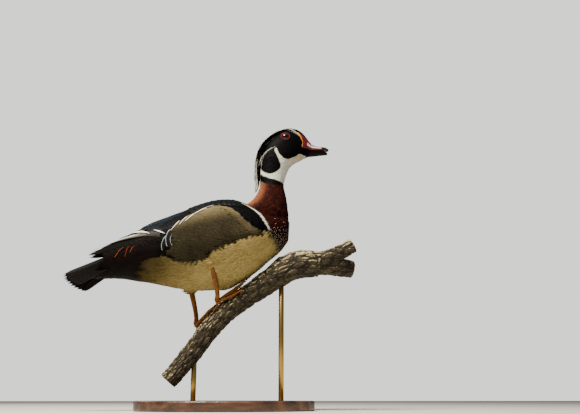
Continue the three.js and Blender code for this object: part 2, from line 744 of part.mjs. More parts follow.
function wing(side) {
  const top = (t, v) => (v === -1 ? lip(t) : WING.ceiling);
  const core = layer(trunkSurface, side, wingEdge(0, WING.shorter), () => -WING_BED, top, 7, 4);
  const scapulars = SCAPULAR.lanes.flatMap((degrees) =>
    SCAPULAR.tips.map((tip) => {
      const start = Math.min(tip + SCAPULAR.length, flankFront(degrees)[0] - FRONT_INSET);
      return onTrunk(side, SCAPULAR, start, tip + 2 * vary(), degrees, { columns: 1 });
    }),
  );
  const tertials = row(side, TERTIAL, { steps: 3 });
  const secondaries = row(side, SECONDARY, { steps: 3, columns: 1 });
  return fuse([core, ...scapulars, ...tertials, ...secondaries]);
}

// Primaries: a stack of long vanes that comes out from under the wing's tips
function primaries(side) {
  const { from, to, low, high, topInner, topOuter } = PRIMARY.root;
  const edge = (t, v) => [mix(from, to, t), mix(low, high, (v + 1) / 2)];
  const top = (t, v) => mix(topInner, topOuter, (v + 1) / 2);
  const root = layer(trunkSurface, side, edge, () => -WING_BED, top, 1, 4);
  const vanes = PRIMARY.tips.map((tip, i) => {
    const lift = PRIMARY.lift.map((height, at) => height + STACK * PRIMARY.stack[at] * i);
    const start = [PRIMARY.start, PRIMARY.first - PRIMARY.step * i];
    const shape = { ...PRIMARY, from: start, to: tip, lift, thickness: THIN_VANE, steps: 4, columns: 1 };
    return vane(trunkSurface, side, shape);
  });
  return fuse([root, ...vanes]);
}

// Tail

function tailSurface(u, angle) {
  const [x, , z] = TAIL.root;
  const slope = angle / DEG;
  const down = Math.sin(TAIL.slope * DEG) * Math.abs(slope);
  const across = Math.cos(TAIL.slope * DEG) * slope;
  return new THREE.Vector3(x - u * Math.cos(TAIL.fall * DEG), across, z - u * Math.sin(TAIL.fall * DEG) - down);
}

// The middle pair lies uppermost
function rectrices(side) {
  const { inner, rootStep, tipStep, shorter, curve, spread } = RECTRIX;
  return Array.from({ length: RECTRIX.pairs }, (_, i) => {
    const to = [TAIL.length - shorter * i ** curve, inner + tipStep * i];
    const lift = Array(3).fill(STACK * i);
    return vane(tailSurface, side, { from: [0, inner + rootStep * i], to, spread, lift, thickness: THIN_VANE });
  });
}

const tailFeathers = (side) => [...rectrices(side), ...row(side, TAIL_COVERT), ...row(side, UNDER_COVERT)];

// Crest

function crest() {
  const { from, to, half } = CREST_CORE;
  const top = through(CREST_CORE.top);
  const edge = (t, v) => [mix(from, to, t), v * half];
  const core = layer(neckSurface, 1, edge, () => CREST.clear, (t) => top(mix(from, to, t))[0], 5, 4);
  const vanes = CREST_TIERS.flatMap(({ start, end, sooner, outer, lift }) =>
    even(-outer, outer, 2 * outer + 1).map((lane) => {
      const degrees = lane * CREST.lane;
      const tip = end + sooner * Math.abs(lane) + CREST.variation * vary();
      const shape = { from: [start, degrees], to: [tip, degrees], lift, steps: 3, columns: 1 };
      return vane(neckSurface, 1, { ...CREST, ...shape });
    }),
  );
  return fuse([core, ...vanes]);
}

// Build: trunk, tail, neck and head

const byPlace = (axis) => (a, b) => a.boundingBox().min[axis] - b.boundingBox().min[axis];
const thighs = [RIGHT, LEFT].map((side) => thigh(side, GAP));
const shanks = [RIGHT, LEFT].map((side) => shank(side, GAP));
const beds = [bed(RIGHT), bed(LEFT)];
const [tailCore, trunk] = clear(flesh(0), [slab(TAIL_CUT, GAP), ...beds]).decompose().sort(byPlace(0));
place('torso', clear(trunk, [...thighs, ...shanks]), 'cream');
place('tail', fuse([tailCore, ...tailFeathers(RIGHT), ...tailFeathers(LEFT)]), 'black');

const [neck, skull] = clear(neckAndHead(0), [slab(HEAD_CUT, GAP)]).decompose().sort(byPlace(2));
place('neck', clear(neck, [flesh(GAP)]), 'chestnut');
const sockets = [RIGHT, LEFT].flatMap((side) => [eyeball(side, GAP), lidRing(side, GAP)]);
place('head', clear(skull, [upperMandible(GAP), lowerMandible(GAP), ...sockets]), 'glossBlack');
place('crest', crest(), 'glossBlack');

const nostrils = [RIGHT, LEFT].map((side) =>
  ellipsoid(NOSTRIL.x, side * NOSTRIL.y, NOSTRIL.z, NOSTRIL.radii, 10, 6),
);
place('bill_upper', clear(upperMandible(0), nostrils), 'billRed');
place('bill_lower', lowerMandible(0), 'billBlack');

for (const side of [RIGHT, LEFT]) {
  place(sided('eye', side), eyeball(side, 0), 'eye');
  place(sided('eye_lid', side), lidRing(side, 0).subtract(eyeball(side, GAP)), 'lid');
}

// Build: wings, flanks, legs

for (const side of [RIGHT, LEFT]) {
  const collar = neckAndHead(GAP);
  place(sided('flank', side), clear(flank(side), [collar]), 'olive');
  place(sided('wing', side), clear(wing(side), [collar]), 'glossBlack');
  place(sided('primaries', side), primaries(side), 'black');
  place(sided('thigh', side), clear(thigh(side, 0), [shank(side, GAP)]), 'cream');
  place(sided('leg', side), shank(side, 0), 'leg');
  place(sided('foot', side), foot(side), 'leg');
  [...TOES, HIND_TOE].forEach((toe, i) => place(`${sided('claw', side)}_${i + 1}`, claw(side, toe), 'claw'));
}

// Build: perch and stand

const drilled = Object.values(rods).map((end) =>
  rod(end, RODS.bed, undersideAt(end.x) + ROD_REACH + GAP, RODS.radius + GAP),
);
place('perch', clear(perch(0), drilled), 'bark');

const plan = new THREE.Shape().absellipse(0, 0, BASE.length / 2, BASE.width / 2, 0, 2 * Math.PI);
const slabShape = new THREE.ExtrudeGeometry(plan, {
  depth: BASE.height - 2 * BASE.bevel,
  bevelSize: BASE.bevel,
  bevelThickness: BASE.bevel,
  bevelOffset: -BASE.bevel,
  bevelSegments: 1,
  curveSegments: 14,
}).translate(BASE.x, 0, BASE.bevel);
place('stand_base', clear(solid(slabShape), drilled), 'walnut');
for (const [name, end] of Object.entries(rods)) {
  place(name, rod(end, RODS.bed + GAP, undersideAt(end.x) + ROD_REACH, RODS.radius), 'brass');
}

export default duck;
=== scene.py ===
import math
import bpy
import numpy as np
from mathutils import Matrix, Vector, noise


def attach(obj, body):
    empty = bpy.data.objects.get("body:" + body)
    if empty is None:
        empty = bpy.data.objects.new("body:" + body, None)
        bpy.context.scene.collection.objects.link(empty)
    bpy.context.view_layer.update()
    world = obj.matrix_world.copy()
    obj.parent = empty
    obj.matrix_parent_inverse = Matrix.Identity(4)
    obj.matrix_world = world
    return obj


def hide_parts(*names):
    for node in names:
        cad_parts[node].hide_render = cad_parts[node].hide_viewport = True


# A drake wood duck at life size on a cut length of branch, held by a plain stand.
# Sizes in the dictionaries are millimetres and degrees, and mm() turns them to metres.

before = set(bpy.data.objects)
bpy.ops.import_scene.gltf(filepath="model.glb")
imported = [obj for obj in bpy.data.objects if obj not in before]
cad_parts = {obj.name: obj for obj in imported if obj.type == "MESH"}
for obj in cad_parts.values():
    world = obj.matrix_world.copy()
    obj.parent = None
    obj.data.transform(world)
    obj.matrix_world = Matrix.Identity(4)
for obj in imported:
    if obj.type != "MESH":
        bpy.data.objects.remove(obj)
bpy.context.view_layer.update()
body = "root"
print("frame loaded:", len(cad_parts), "nodes")


def mm(value):
    return np.asarray(value, float) * 0.001


def linear(hexValue):
    channels = [int(hexValue[i:i + 2], 16) / 255 for i in (1, 3, 5)]
    return tuple(c / 12.92 if c < 0.04045 else ((c + 0.055) / 1.055) ** 2.4 for c in channels) + (1.0,)


def pickSocket(sockets, key):
    if isinstance(key, int):
        return sockets[key]
    return next(s for s in sockets if s.name == key and s.enabled)


# The colours or values of a ramp, each with its place
def setStops(colorRamp, stops):
    while len(colorRamp.elements) < len(stops):
        colorRamp.elements.new(0.5)
    for element, (place, value) in zip(colorRamp.elements, stops):
        element.position = place
        element.color = linear(value) if isinstance(value, str) else (value, value, value, 1)


# Sets or links a node's inputs, by name, by number, or as a list for those in use.
# A hex colour is turned to linear, and a node stands for its first output in use.
def feed(node, inputs):
    if isinstance(inputs, list):
        pairs = zip([socket for socket in node.inputs if socket.enabled], inputs)
    else:
        pairs = [(pickSocket(node.inputs, key), value) for key, value in inputs.items()]
    for socket, value in pairs:
        if isinstance(value, bpy.types.Node):
            value = next(output for output in value.outputs if output.enabled)
        if isinstance(value, bpy.types.NodeSocket):
            node.id_data.links.new(value, socket)
        else:
            socket.default_value = linear(value) if str(value).startswith("#") else value


# Adds a node with its settings, and sets or links its inputs
def addNode(tree, kind, settings=None, inputs=None):
    node = tree.nodes.new(kind)
    for key, value in (settings or {}).items():
        if key == "stops":
            setStops(node.color_ramp, value)
        else:
            setattr(node, key, value)
    feed(node, inputs or {})
    return node


# Settings that many nodes share
plus = {"operation": "ADD"}
minus = {"operation": "SUBTRACT"}
times = {"operation": "MULTIPLY"}
less = {"operation": "LESS_THAN"}
greater = {"operation": "GREATER_THAN"}
larger = {"operation": "MAXIMUM"}
sine = {"operation": "SINE"}
colors = {"data_type": "RGBA"}
shares = {"data_type": "FLOAT"}


def smooth(value, low, high):
    t = np.clip((np.asarray(value, float) - low) / (high - low), 0, 1)
    return t * t * (3 - 2 * t)


def mix(a, b, t):
    return a + (b - a) * t


# A smooth function through rows whose first number is the place
def through(rows):
    table = np.array(rows, float)
    places, values = table[:, 0], table[:, 1:]
    slopes = np.gradient(values, places, axis=0)

    def at(place):
        p = np.clip(np.asarray(place, float), places[0], places[-1])
        i = np.clip(np.searchsorted(places, p) - 1, 0, len(places) - 2)
        width = places[i + 1] - places[i]
        t = ((p - places[i]) / width)[..., None]
        w = width[..., None]
        return ((2 * t ** 3 - 3 * t ** 2 + 1) * values[i] + (t ** 3 - 2 * t ** 2 + t) * w * slopes[i]
                + (3 * t ** 2 - 2 * t ** 3) * values[i + 1] + (t ** 3 - t ** 2) * w * slopes[i + 1])
    return at


# The bird's form: the same rows as the solids

form = {
    # x, top, bottom, half width
    "trunk": [[-225, 229, 204, 9], [-195, 239, 201, 17], [-165, 254.5, 198, 26], [-140, 267, 194.5, 34],
              [-115, 282, 190, 41.5], [-90, 293.5, 185.5, 48], [-66, 304, 181.5, 53], [-42, 314.5, 179.5, 56],
              [-15, 322.5, 180.5, 57.5], [10, 324, 184, 57.5], [32, 320.5, 196, 55.5], [55, 315, 213.5, 51],
              [70, 310, 227, 46.5], [101.5, 325, 240, 44]],
    "breast": (64, 101.5),
    "rump": (-140, -182),
    "squareness": (2.2, 1.9),
    # rib, front x, z, back x, z, half width
    "neck": [[0, 92, 258, 8, 296, 40], [1, 100, 288, 22, 311, 38.5], [2, 100.5, 312, 36, 322, 32],
             [3, 98, 332, 46, 333.5, 26], [4, 94.5, 350, 52.5, 349.5, 21.5], [5, 96, 363, 53, 367, 20.3],
             [6, 99.5, 375, 54.5, 388, 20.8], [7, 104, 384.5, 57.5, 406, 22],
             [8, 110, 390.5, 65.5, 422.5, 22.8], [9, 116, 394.5, 79, 438, 22.6],
             [10, 122, 397.5, 95, 448, 21.2], [11, 127, 400.5, 110, 451.5, 18.4],
             [12, 131, 402.5, 121.5, 446.5, 15.4], [13, 134.5, 404.5, 130.5, 437, 12],
             [14, 137, 406.5, 137, 428, 9]],
}
trunkRow = through(form["trunk"])
neckRow = through(form["neck"])


def power(value, exponent):
    return np.sign(value) * np.abs(value) ** exponent


def trunkPoint(x, angle, inset=0.0):
    row = trunkRow(x)
    top, bottom, half = row[..., 0] - inset, row[..., 1] + inset, row[..., 2] - inset
    start, end = form["breast"]
    shrink = np.sqrt(1 - np.clip((x - start) / (end - start), 0, 0.9999) ** 2)
    above, below = form["squareness"]
    squareness = np.where(np.cos(angle) > 0, above, below)
    across = power(np.sin(angle), 2 / squareness) * half * shrink
    up = power(np.cos(angle), 2 / squareness) * (top - bottom) / 2 * shrink
    return np.stack([x + 0 * angle, across, (top + bottom) / 2 + up], -1)


def fleshPoint(x, angle, inset=0.0):
    point = trunkPoint(x, angle, inset)
    start, end = form["rump"]
    shrink = np.sqrt(1 - np.clip((start - x) / (start - end), 0, 0.9999) ** 2)
    row = trunkRow(x)
    middle = (row[..., 0] + row[..., 1]) / 2
    return np.stack([point[..., 0], point[..., 1] * shrink, middle + (point[..., 2] - middle) * shrink], -1)


def neckPoint(rib, angle, inset=0.0):
    row = neckRow(rib)
    frontX, frontZ, backX, backZ, half = (row[..., i] for i in range(5))
    squareness = mix(2.1, 2.45, smooth(rib, 6, 8))
    across = power(np.sin(angle), 2 / squareness) * (half - inset)
    up = power(np.cos(angle), 2 / squareness)
    length = np.hypot(backX - frontX, backZ - frontZ)
    up = up * (length - 2 * inset) / length
    return np.stack([(frontX + backX) / 2 + (backX - frontX) / 2 * up, across,
                     (frontZ + backZ) / 2 + (backZ - frontZ) / 2 * up], -1)


# The tail is a roof-shaped fan: mm along its ridge, and "degrees" are mm down its slope
tailFan = {"root": (-148, 245), "fall": 24, "slope": 38, "length": 104}


def tailPoint(u, angle):
    slope = np.degrees(angle)
    fall, tilt = math.radians(tailFan["fall"]), math.radians(tailFan["slope"])
    x = tailFan["root"][0] - u * math.cos(fall)
    z = tailFan["root"][1] - u * math.sin(fall) - np.abs(slope) * math.sin(tilt)
    return np.stack([x + 0 * slope, slope * math.cos(tilt), z], -1)


# The point that stands a height over a surface. A feather's tip points down the surface's first number,
# or up it with tipward 1.
def above(surface, u, angle, height, tipward=-1):
    along = surface(u + 0.01, angle) - surface(u - 0.01, angle)
    around = surface(u, angle + 0.001) - surface(u, angle - 0.001)
    normal = np.cross(around, along * tipward)
    normal /= np.linalg.norm(normal, axis=-1, keepdims=True) + 1e-12
    return surface(u, angle) + normal * np.asarray(height)[..., None]


# Places on the bird, for markings and for the lie of the feathers

ribFine = np.linspace(0, 14, 225)
ribEnds = neckRow(ribFine)


# Which rib a point lies on, and its degrees from the back of the neck
def neckChart(points):
    x, y, z = points.T
    rib = np.zeros(len(points))
    front, back = ribEnds[:, 0:2], ribEnds[:, 2:4]
    rise = back - front
    length = np.linalg.norm(rise, axis=1)
    for start in range(0, len(points), 20000):
        part = slice(start, start + 20000)
        dx = x[part, None] - front[None, :, 0]
        dz = z[part, None] - front[None, :, 1]
        off = np.abs(rise[:, 0] * dz - rise[:, 1] * dx) / length
        rib[part] = ribFine[np.argmin(off, axis=1)]
    row = neckRow(rib)
    rise = row[:, 2:4] - row[:, 0:2]
    squareness = mix(2.1, 2.45, smooth(rib, 6, 8))
    share = ((x - row[:, 0]) * rise[:, 0] + (z - row[:, 1]) * rise[:, 1]) / (rise ** 2).sum(1)
    up = 2 * share - 1
    degrees = np.degrees(np.arctan2(np.abs(y / row[:, 4]) ** (squareness / 2), power(up, squareness / 2)))
    return rib, degrees


# How far along the trunk a point lies, and its degrees from the top
def trunkChart(points):
    x, y, z = points.T
    row = trunkRow(x)
    start, end = form["breast"]
    shrink = np.sqrt(1 - np.clip((x - start) / (end - start), 0, 0.98) ** 2)
    up = (z - (row[:, 0] + row[:, 1]) / 2) / ((row[:, 0] - row[:, 1]) / 2 * shrink)
    squareness = np.where(up > 0, *form["squareness"])
    side = np.abs(y / (row[:, 2] * shrink)) ** (squareness / 2)
    return x, np.degrees(np.arctan2(side, power(up, squareness / 2)))


# Distance to a closed outline, below zero inside it
def outlineDistance(x, y, outline):
    a = np.array(outline, float)
    b = np.roll(a, -1, axis=0)
    inside = np.zeros(len(x), bool)
    nearest = np.full(len(x), 1e9)
    for (ax, ay), (bx, by) in zip(a, b):
        crosses = (ay > y) != (by > y)
        edge = ax + (y - ay) * (bx - ax) / (by - ay + 1e-12)
        inside ^= crosses & (x < edge)
        nearest = np.minimum(nearest, segmentDistance(x, y, ax, ay, bx, by)[0])
    return np.where(inside, -nearest, nearest)


def segmentDistance(x, y, ax, ay, bx, by):
    dx, dy = bx - ax, by - ay
    t = np.clip(((x - ax) * dx + (y - ay) * dy) / (dx * dx + dy * dy), 0, 1)
    return np.hypot(x - ax - t * dx, y - ay - t * dy), t


# Distance to the edge of a stripe whose rows are x, y and half width, below zero on it
def stripeDistance(x, y, rows):
    nearest = np.full(len(x), 1e9)
    for (ax, ay, aw), (bx, by, bw) in zip(rows[:-1], rows[1:]):
        distance, t = segmentDistance(x, y, ax, ay, bx, by)
        nearest = np.minimum(nearest, distance - mix(aw, bw, t))
    return nearest


markings = {
    # side view, x and z: the white throat with its two prongs
    "bib": [(117, 404), (111, 399.4), (98, 392.9), (90.3, 394), (82.8, 401), (80, 407.3), (78.8, 411),
            (76.8, 410.4), (75.6, 406.8), (78.7, 400.5), (83, 391.2), (86.2, 384), (86, 378.4), (82.1, 373.9),
            (76.4, 369.4), (68.6, 366.9), (61, 369.6), (56.3, 375.3), (54.1, 381), (51.5, 379.8), (52.6, 374),
            (57.9, 366.1), (67.5, 360.3), (77.6, 358.1), (85.9, 356), (93.8, 353), (101, 351), (106, 364),
            (109, 377), (114, 383), (126, 390), (138, 399), (131, 403)],
    # rib and degrees from the nape: white lines of the crest, with half widths
    "browLine": [(11.3, 78, 0.3), (10.9, 70, 0.3), (10.5, 54, 0.25), (10.1, 35, 0.1), (9.7, 26, 0.1),
                 (9.2, 21, 0.1), (8.4, 17, 0.1), (7, 13, 0.1), (5.8, 10, 0.3), (4.6, 8, 1), (3.2, 6, 1.4)],
    "cheekLine": [(7.9, 66, 0.1), (7.4, 50, 0.25), (7.1, 40, 0.3), (6.8, 29, 0.5), (6.4, 19, 0.6),
                  (5.9, 14, 0.8), (5.4, 11, 0.9), (5, 10, 1), (4, 9, 1.1), (3.3, 8, 1.2)],
    # x and degrees from the back: bars and borders of the trunk
    "whiteBar": [(23.5, 28, 0.4), (33.5, 35, 0.9), (44, 46, 1.4), (50.5, 55, 1.6), (56.5, 66, 1.7),
                 (60.5, 74, 1.6), (64, 82, 1.3), (66.5, 90, 0.8)],
    "flank": [(-21, 39), (-7.5, 41), (10, 49), (23, 63), (33, 74), (43, 82), (53.5, 90), (56, 95), (43, 93),
              (23, 94), (1, 100), (-14, 104), (-24, 109), (-32, 116), (-46, 119), (-67, 118), (-80, 112),
              (-84, 104), (-84, 90), (-83, 76), (-80, 66), (-73, 57), (-64, 50), (-55, 46), (-45, 44),
              (-36, 42)],
    "belly": [(60, 92), (66, 97), (71, 110), (76, 124), (82, 144), (88, 164), (93, 185), (-150, 185),
              (-140, 160), (-136, 135), (-127, 116), (-112, 110), (-92, 108), (-80, 112), (-67, 117),
              (-46, 118), (-30, 114), (-14, 103), (2, 99), (23, 93), (43, 92)],
}


# How much of each colour a point of the plumage has
def paint(points):
    x, y, z = points.T
    rib, nape = neckChart(points)
    _, turn = trunkChart(points)
    wave = 0.9 * np.sin(x * 0.9 + 2 * np.sin(z * 0.43)) + 0.7 * np.sin(z * 0.7 + y * 0.5)
    onNeck = (z > trunkRow(np.clip(x, -200, 60))[:, 0] + 3) | (x > 52) & (z > 296)
    # Head and neck
    bib = outlineDistance(x, z, markings["bib"])
    brow, cheek = (stripeDistance(rib * 10, nape * 0.37, [(r * 10, a * 0.37, w) for r, a, w in markings[key]])
                   for key in ("browLine", "cheekLine"))
    head = smooth(rib, 2.9, 3.2) * onNeck
    lines = np.maximum(1 - smooth(brow, -0.4, 0.4), 1 - smooth(cheek, -0.4, 0.4))
    white = np.maximum(1 - smooth(bib, -0.35, 0.35), lines) * head
    # The chin under the bill: half its white drawn as cream, painted shade
    chinShade = head * (1 - smooth(bib, -0.35, 0.35)) * smooth(x, 90, 122)
    collar = np.interp(x, [46, 52, 61, 72, 83, 92], [364, 361, 352.6, 349.4, 349.3, 353.5]) + 0.35 * wave
    behind = smooth(nape, 22, 10) * smooth(z, 318, 335)
    chestnut = (1 - smooth(z, collar - 3, collar + 1.5)) * onNeck * (1 - behind)
    # Trunk, in mm along it and degrees round it
    lane = turn * 0.95
    measures = ((stripeDistance, "whiteBar"), (outlineDistance, "flank"), (outlineDistance, "belly"))
    bar, flank, belly = (measure(x, lane, [(row[0], row[1] * 0.95, *row[2:]) for row in markings[key]])
                         for measure, key in measures)
    trunk = 1 - onNeck
    barLine = np.array(markings["whiteBar"])
    ahead = x - np.interp(turn, barLine[:, 1], barLine[:, 0])
    breast = trunk * smooth(ahead, 0, 1) * smooth(belly + wave, -9, 8)
    chestnut = np.maximum(chestnut * np.where(trunk > 0.5, ahead > 0, 1), breast)
    below = smooth(turn, 84, 98)
    soft = mix(0.8, 8.5, below)
    olive = trunk * (1 - smooth(flank + (0.5 + 1.5 * below) * wave, -soft, soft))
    cream = trunk * (1 - smooth(belly + wave, -mix(2, 9, smooth(x, 50, 66)), mix(2, 8, smooth(x, 50, 66))))
    cream = cream * smooth(x + 0.06 * (turn - 110) + 2 * wave, -150, -108)
    barWhite = trunk * (1 - smooth(bar, -0.5, 0.5))
    white = np.maximum(white, barWhite)
    olive = olive * (1 - barWhite)
    cream = cream * (1 - barWhite)
    maroon = trunk * smooth(x, -96, -108) * smooth(turn, 55, 72) * (1 - cream) * (1 - olive)
    # Share of white tips on the chestnut, below zero for the painted highlight at the nape, and elsewhere
    # painted shade: darker lower down the flank and towards the rear of the belly
    breastFlecksNapeHighlight = smooth(z, 302, 252) * smooth(x, 60, 84) * 0.55 - smooth(z, 298, 318) * smooth(nape, 75, 25)
    flankPaintedShade = smooth(turn, 43, 74) * (1 - 0.35 * smooth(x, 0, 40) * smooth(turn, 96, 80))
    ventAndBellyShade = smooth(x + 0.3 * (turn - 120), 10, -130) ** 1.3
    flecksAndPaintedLight = np.select([chestnut > 0.3, olive > 0.3], [breastFlecksNapeHighlight, flankPaintedShade], ventAndBellyShade)
    return {"white": white * (1 - 0.5 * chinShade), "chestnut": chestnut, "cream": np.maximum(cream, chinShade),
            "olive": olive, "maroon": maroon, "flecksAndPaintedLight": flecksAndPaintedLight}


def setMarks(mesh, marks):
    n = len(mesh.vertices)
    for name, keys in (("marksA", ("white", "chestnut", "cream")), ("marksB", ("olive", "maroon", "flecksAndPaintedLight"))):
        values = np.stack([np.broadcast_to(marks.get(key, 0.0), n) for key in keys], -1)
        attribute = mesh.attributes.get(name) or mesh.attributes.new(name, "FLOAT_VECTOR", "POINT")
        attribute.data.foreach_set("vector", values.astype(np.float32).ravel())


def vertices(mesh):
    flat = np.empty(len(mesh.vertices) * 3, np.float32)
    mesh.vertices.foreach_get("co", flat)
    return flat.reshape(-1, 3).astype(float) * 1000


def readAttribute(mesh, name, width):
    attribute = mesh.attributes[name]
    flat = np.empty(len(attribute.data) * width, np.float32)
    attribute.data.foreach_get("vector" if width > 1 else "value", flat)
    return flat.reshape(-1, width) if width > 1 else flat


def setFloats(mesh, name, values):
    attribute = mesh.attributes.get(name) or mesh.attributes.new(name, "FLOAT", "POINT")
    attribute.data.foreach_set("value", np.ascontiguousarray(values, np.float32))


# The vertex that each corner of a face stands on
def cornerVertices(mesh):
    corners = np.empty(len(mesh.loops), np.int32)
    mesh.loops.foreach_get("vertex_index", corners)
    return corners


def setUv(mesh, name, values):
    layer = mesh.uv_layers.get(name) or mesh.uv_layers.new(name=name)
    layer.data.foreach_set("uv", values.astype(np.float32).ravel())


# Unwrap of the bird's own form: along it from tail to bill, and round it
def unwrap(points):
    x, y, z = points.T
    rib, nape = neckChart(points)
    _, turn = trunkChart(points)
    high = z > trunkRow(np.clip(x, -200, 60))[:, 0]
    along = np.where(high, 345 + rib * 14, x + 245) / 560
    around = np.where(high, nape, turn) * np.sign(y + 1e-9) / 180
    return np.stack([0.02 + 0.96 * np.clip(along, 0, 1), 0.5 + 0.48 * np.clip(around, -1, 1)], -1)


# Materials

def newMaterial(name):
    material = bpy.data.materials.new(name)
    material.use_nodes = True
    tree = material.node_tree
    tree.nodes.clear()
    shader = addNode(tree, "ShaderNodeBsdfPrincipled")
    addNode(tree, "ShaderNodeOutputMaterial", None, {"Surface": shader})
    return material, tree, shader


# Soft mottling whose patches are about so many mm wide, fixed to the piece
def mottling(tree, size, detail=3, stretch=(1, 1, 1)):
    place = addNode(tree, "ShaderNodeTexCoord").outputs["Object"]
    turned = addNode(tree, "ShaderNodeMapping", None, {"Vector": place, "Scale": stretch})
    return addNode(tree, "ShaderNodeTexNoise", None,
                   {"Vector": turned, "Scale": 1 / mm(size), "Detail": detail})


plumage = {
    "black": ("#020203", "#050f0c", "#090717"),
    "chestnut": [(0.28, "#130403"), (0.55, "#260a07"), (0.8, "#42170e")],
    # The nape ramp is a painted highlight: the chestnut where the sun falls on the back of the neck
    "nape": [(0.4, "#642f1d"), (0.62, "#a36c49")],
    # Belly ramps: the white belly drawn as a dim yellowish cream, painted shade, and darker still at the
    # vent, partly its real colour and partly painted shade
    "cream": [(0.25, "#907c44"), (0.7, "#ae9a64")],
    "shadedVent": [(0.25, "#231c0b"), (0.7, "#3b3117")],
    # Flank: tan where its upper edge catches the light, dark olive as painted shade lower down
    "sunlitTan": [(0.3, "#5c5139"), (0.66, "#75694c")],
    "olive": [(0.3, "#231f15"), (0.66, "#353022")],
    "maroon": ("#060202", "#0f0505"),
    "white": ("#c6c4b8", "#e9e6db"),
}


# Body feathers: keratin vanes with fine barbs, matt where pale and silky where dark
def featherMaterial(name, sheen):
    material, tree, shader = newMaterial(name)
    marksA = addNode(tree, "ShaderNodeAttribute", {"attribute_name": "marksA"}).outputs["Vector"]
    marksB = addNode(tree, "ShaderNodeAttribute", {"attribute_name": "marksB"}).outputs["Vector"]
    white, chestnut, cream = addNode(tree, "ShaderNodeSeparateXYZ", None, [marksA]).outputs
    olive, maroon, flecksAndPaintedLight = addNode(tree, "ShaderNodeSeparateXYZ", None, [marksB]).outputs
    tint = addNode(tree, "ShaderNodeAttribute", {"attribute_name": "tint"}).outputs["Fac"]
    vane = addNode(tree, "ShaderNodeUVMap", {"uv_map": "vane"})
    across, along, _ = addNode(tree, "ShaderNodeSeparateXYZ", None, [vane]).outputs
    off = addNode(tree, "ShaderNodeMath", minus, [across, 0.5])
    off = addNode(tree, "ShaderNodeMath", {"operation": "ABSOLUTE"}, [off])
    broad = mottling(tree, 22, 2)
    fine = mottling(tree, 1.1, 2, (0.35, 1, 1))

    # Where two colours meet, each feather is one or the other
    def byFeather(share):
        limit = addNode(tree, "ShaderNodeMath", {"operation": "MULTIPLY_ADD"}, [tint, 1.5, -1.5])
        shifted = addNode(tree, "ShaderNodeMath", {"operation": "MULTIPLY_ADD"}, [share, 2.5, limit])
        return addNode(tree, "ShaderNodeClamp", None, {"Value": shifted})

    # The colour between two others of the plumage, both laid over a pattern
    def between(share, dull, bright, pattern):
        ends = [addNode(tree, "ShaderNodeValToRGB", {"stops": plumage[key]}, [pattern])
                for key in (dull, bright)]
        return addNode(tree, "ShaderNodeMix", colors, [share, *ends])

    # Dark plumage: black with green and violet where the noise turns it, laid in as a painted sheen that
    # grows towards grazing angles: the feathers' own iridescence drawn in the colour
    facing = addNode(tree, "ShaderNodeLayerWeight", None, {"Blend": 0.35}).outputs["Facing"]
    gloss = addNode(tree, "ShaderNodeMath", times, [facing, sheen])
    violet = addNode(tree, "ShaderNodeValToRGB", {"stops": [(0.4, 0.0), (0.6, 1.0)]}, [broad])
    glow = addNode(tree, "ShaderNodeMix", colors, [violet, *plumage["black"][1:]])
    color = addNode(tree, "ShaderNodeMix", colors, [gloss, plumage["black"][0], glow])
    # Chestnut, with a painted highlight at the nape
    warm = addNode(tree, "ShaderNodeMix", shares, [0.5, broad, tint])
    warm = addNode(tree, "ShaderNodeValToRGB", {"stops": plumage["chestnut"]}, [warm])
    napeHighlight = addNode(tree, "ShaderNodeMath", {"operation": "MINIMUM"}, [flecksAndPaintedLight, 0.0])
    napeHighlight = addNode(tree, "ShaderNodeMath", times, [napeHighlight, -0.9])
    nape = addNode(tree, "ShaderNodeValToRGB", {"stops": plumage["nape"]}, [fine])
    warm = addNode(tree, "ShaderNodeMix", colors, [napeHighlight, warm, nape])
    color = addNode(tree, "ShaderNodeMix", colors, [byFeather(chestnut), color, warm])
    # Cream belly, dimmed and yellowed as painted shade, and darker towards the vent: partly the real dark
    # undertail, partly painted shade
    darkVentAndShade = addNode(tree, "ShaderNodeMath", larger, [flecksAndPaintedLight, 0.0])
    soft = addNode(tree, "ShaderNodeMix", shares, [0.35, broad, tint])
    pale = between(darkVentAndShade, "cream", "shadedVent", soft)
    color = addNode(tree, "ShaderNodeMix", colors, [byFeather(cream), color, pale])
    # Fine dark waves on the flank, drawn about 1 mm apart, coarser than life so that they show
    waves = addNode(tree, "ShaderNodeMix", shares, [0.3, broad, tint])
    waves = addNode(tree, "ShaderNodeMix", shares, [0.6, fine, waves])
    # The flank runs from a painted lit tan at its upper edge to painted shade in dark olive below
    flank = between(flecksAndPaintedLight, "sunlitTan", "olive", waves)
    color = addNode(tree, "ShaderNodeMix", colors, [byFeather(olive), color, flank])
    rump = addNode(tree, "ShaderNodeMix", colors, [tint, *plumage["maroon"]])
    color = addNode(tree, "ShaderNodeMix", colors, [maroon, color, rump])
    # White wedges at the tips of the lower breast feathers
    narrow = addNode(tree, "ShaderNodeMath", minus, [1.06, along])
    narrow = addNode(tree, "ShaderNodeMath", times, [0.6, narrow])
    within = addNode(tree, "ShaderNodeMath", less, [off, narrow])
    tip = addNode(tree, "ShaderNodeMath", greater, [along, 0.76])
    wedge = addNode(tree, "ShaderNodeMath", times, [tip, within])
    some = addNode(tree, "ShaderNodeMath", greater, [flecksAndPaintedLight, tint])
    picked = addNode(tree, "ShaderNodeMath", times, [chestnut, some])
    wedge = addNode(tree, "ShaderNodeMath", times, [wedge, picked])
    white = addNode(tree, "ShaderNodeMath", larger, [white, wedge])
    snow = addNode(tree, "ShaderNodeMix", colors, [tint, *plumage["white"]])
    color = addNode(tree, "ShaderNodeMix", colors, [white, color, snow])
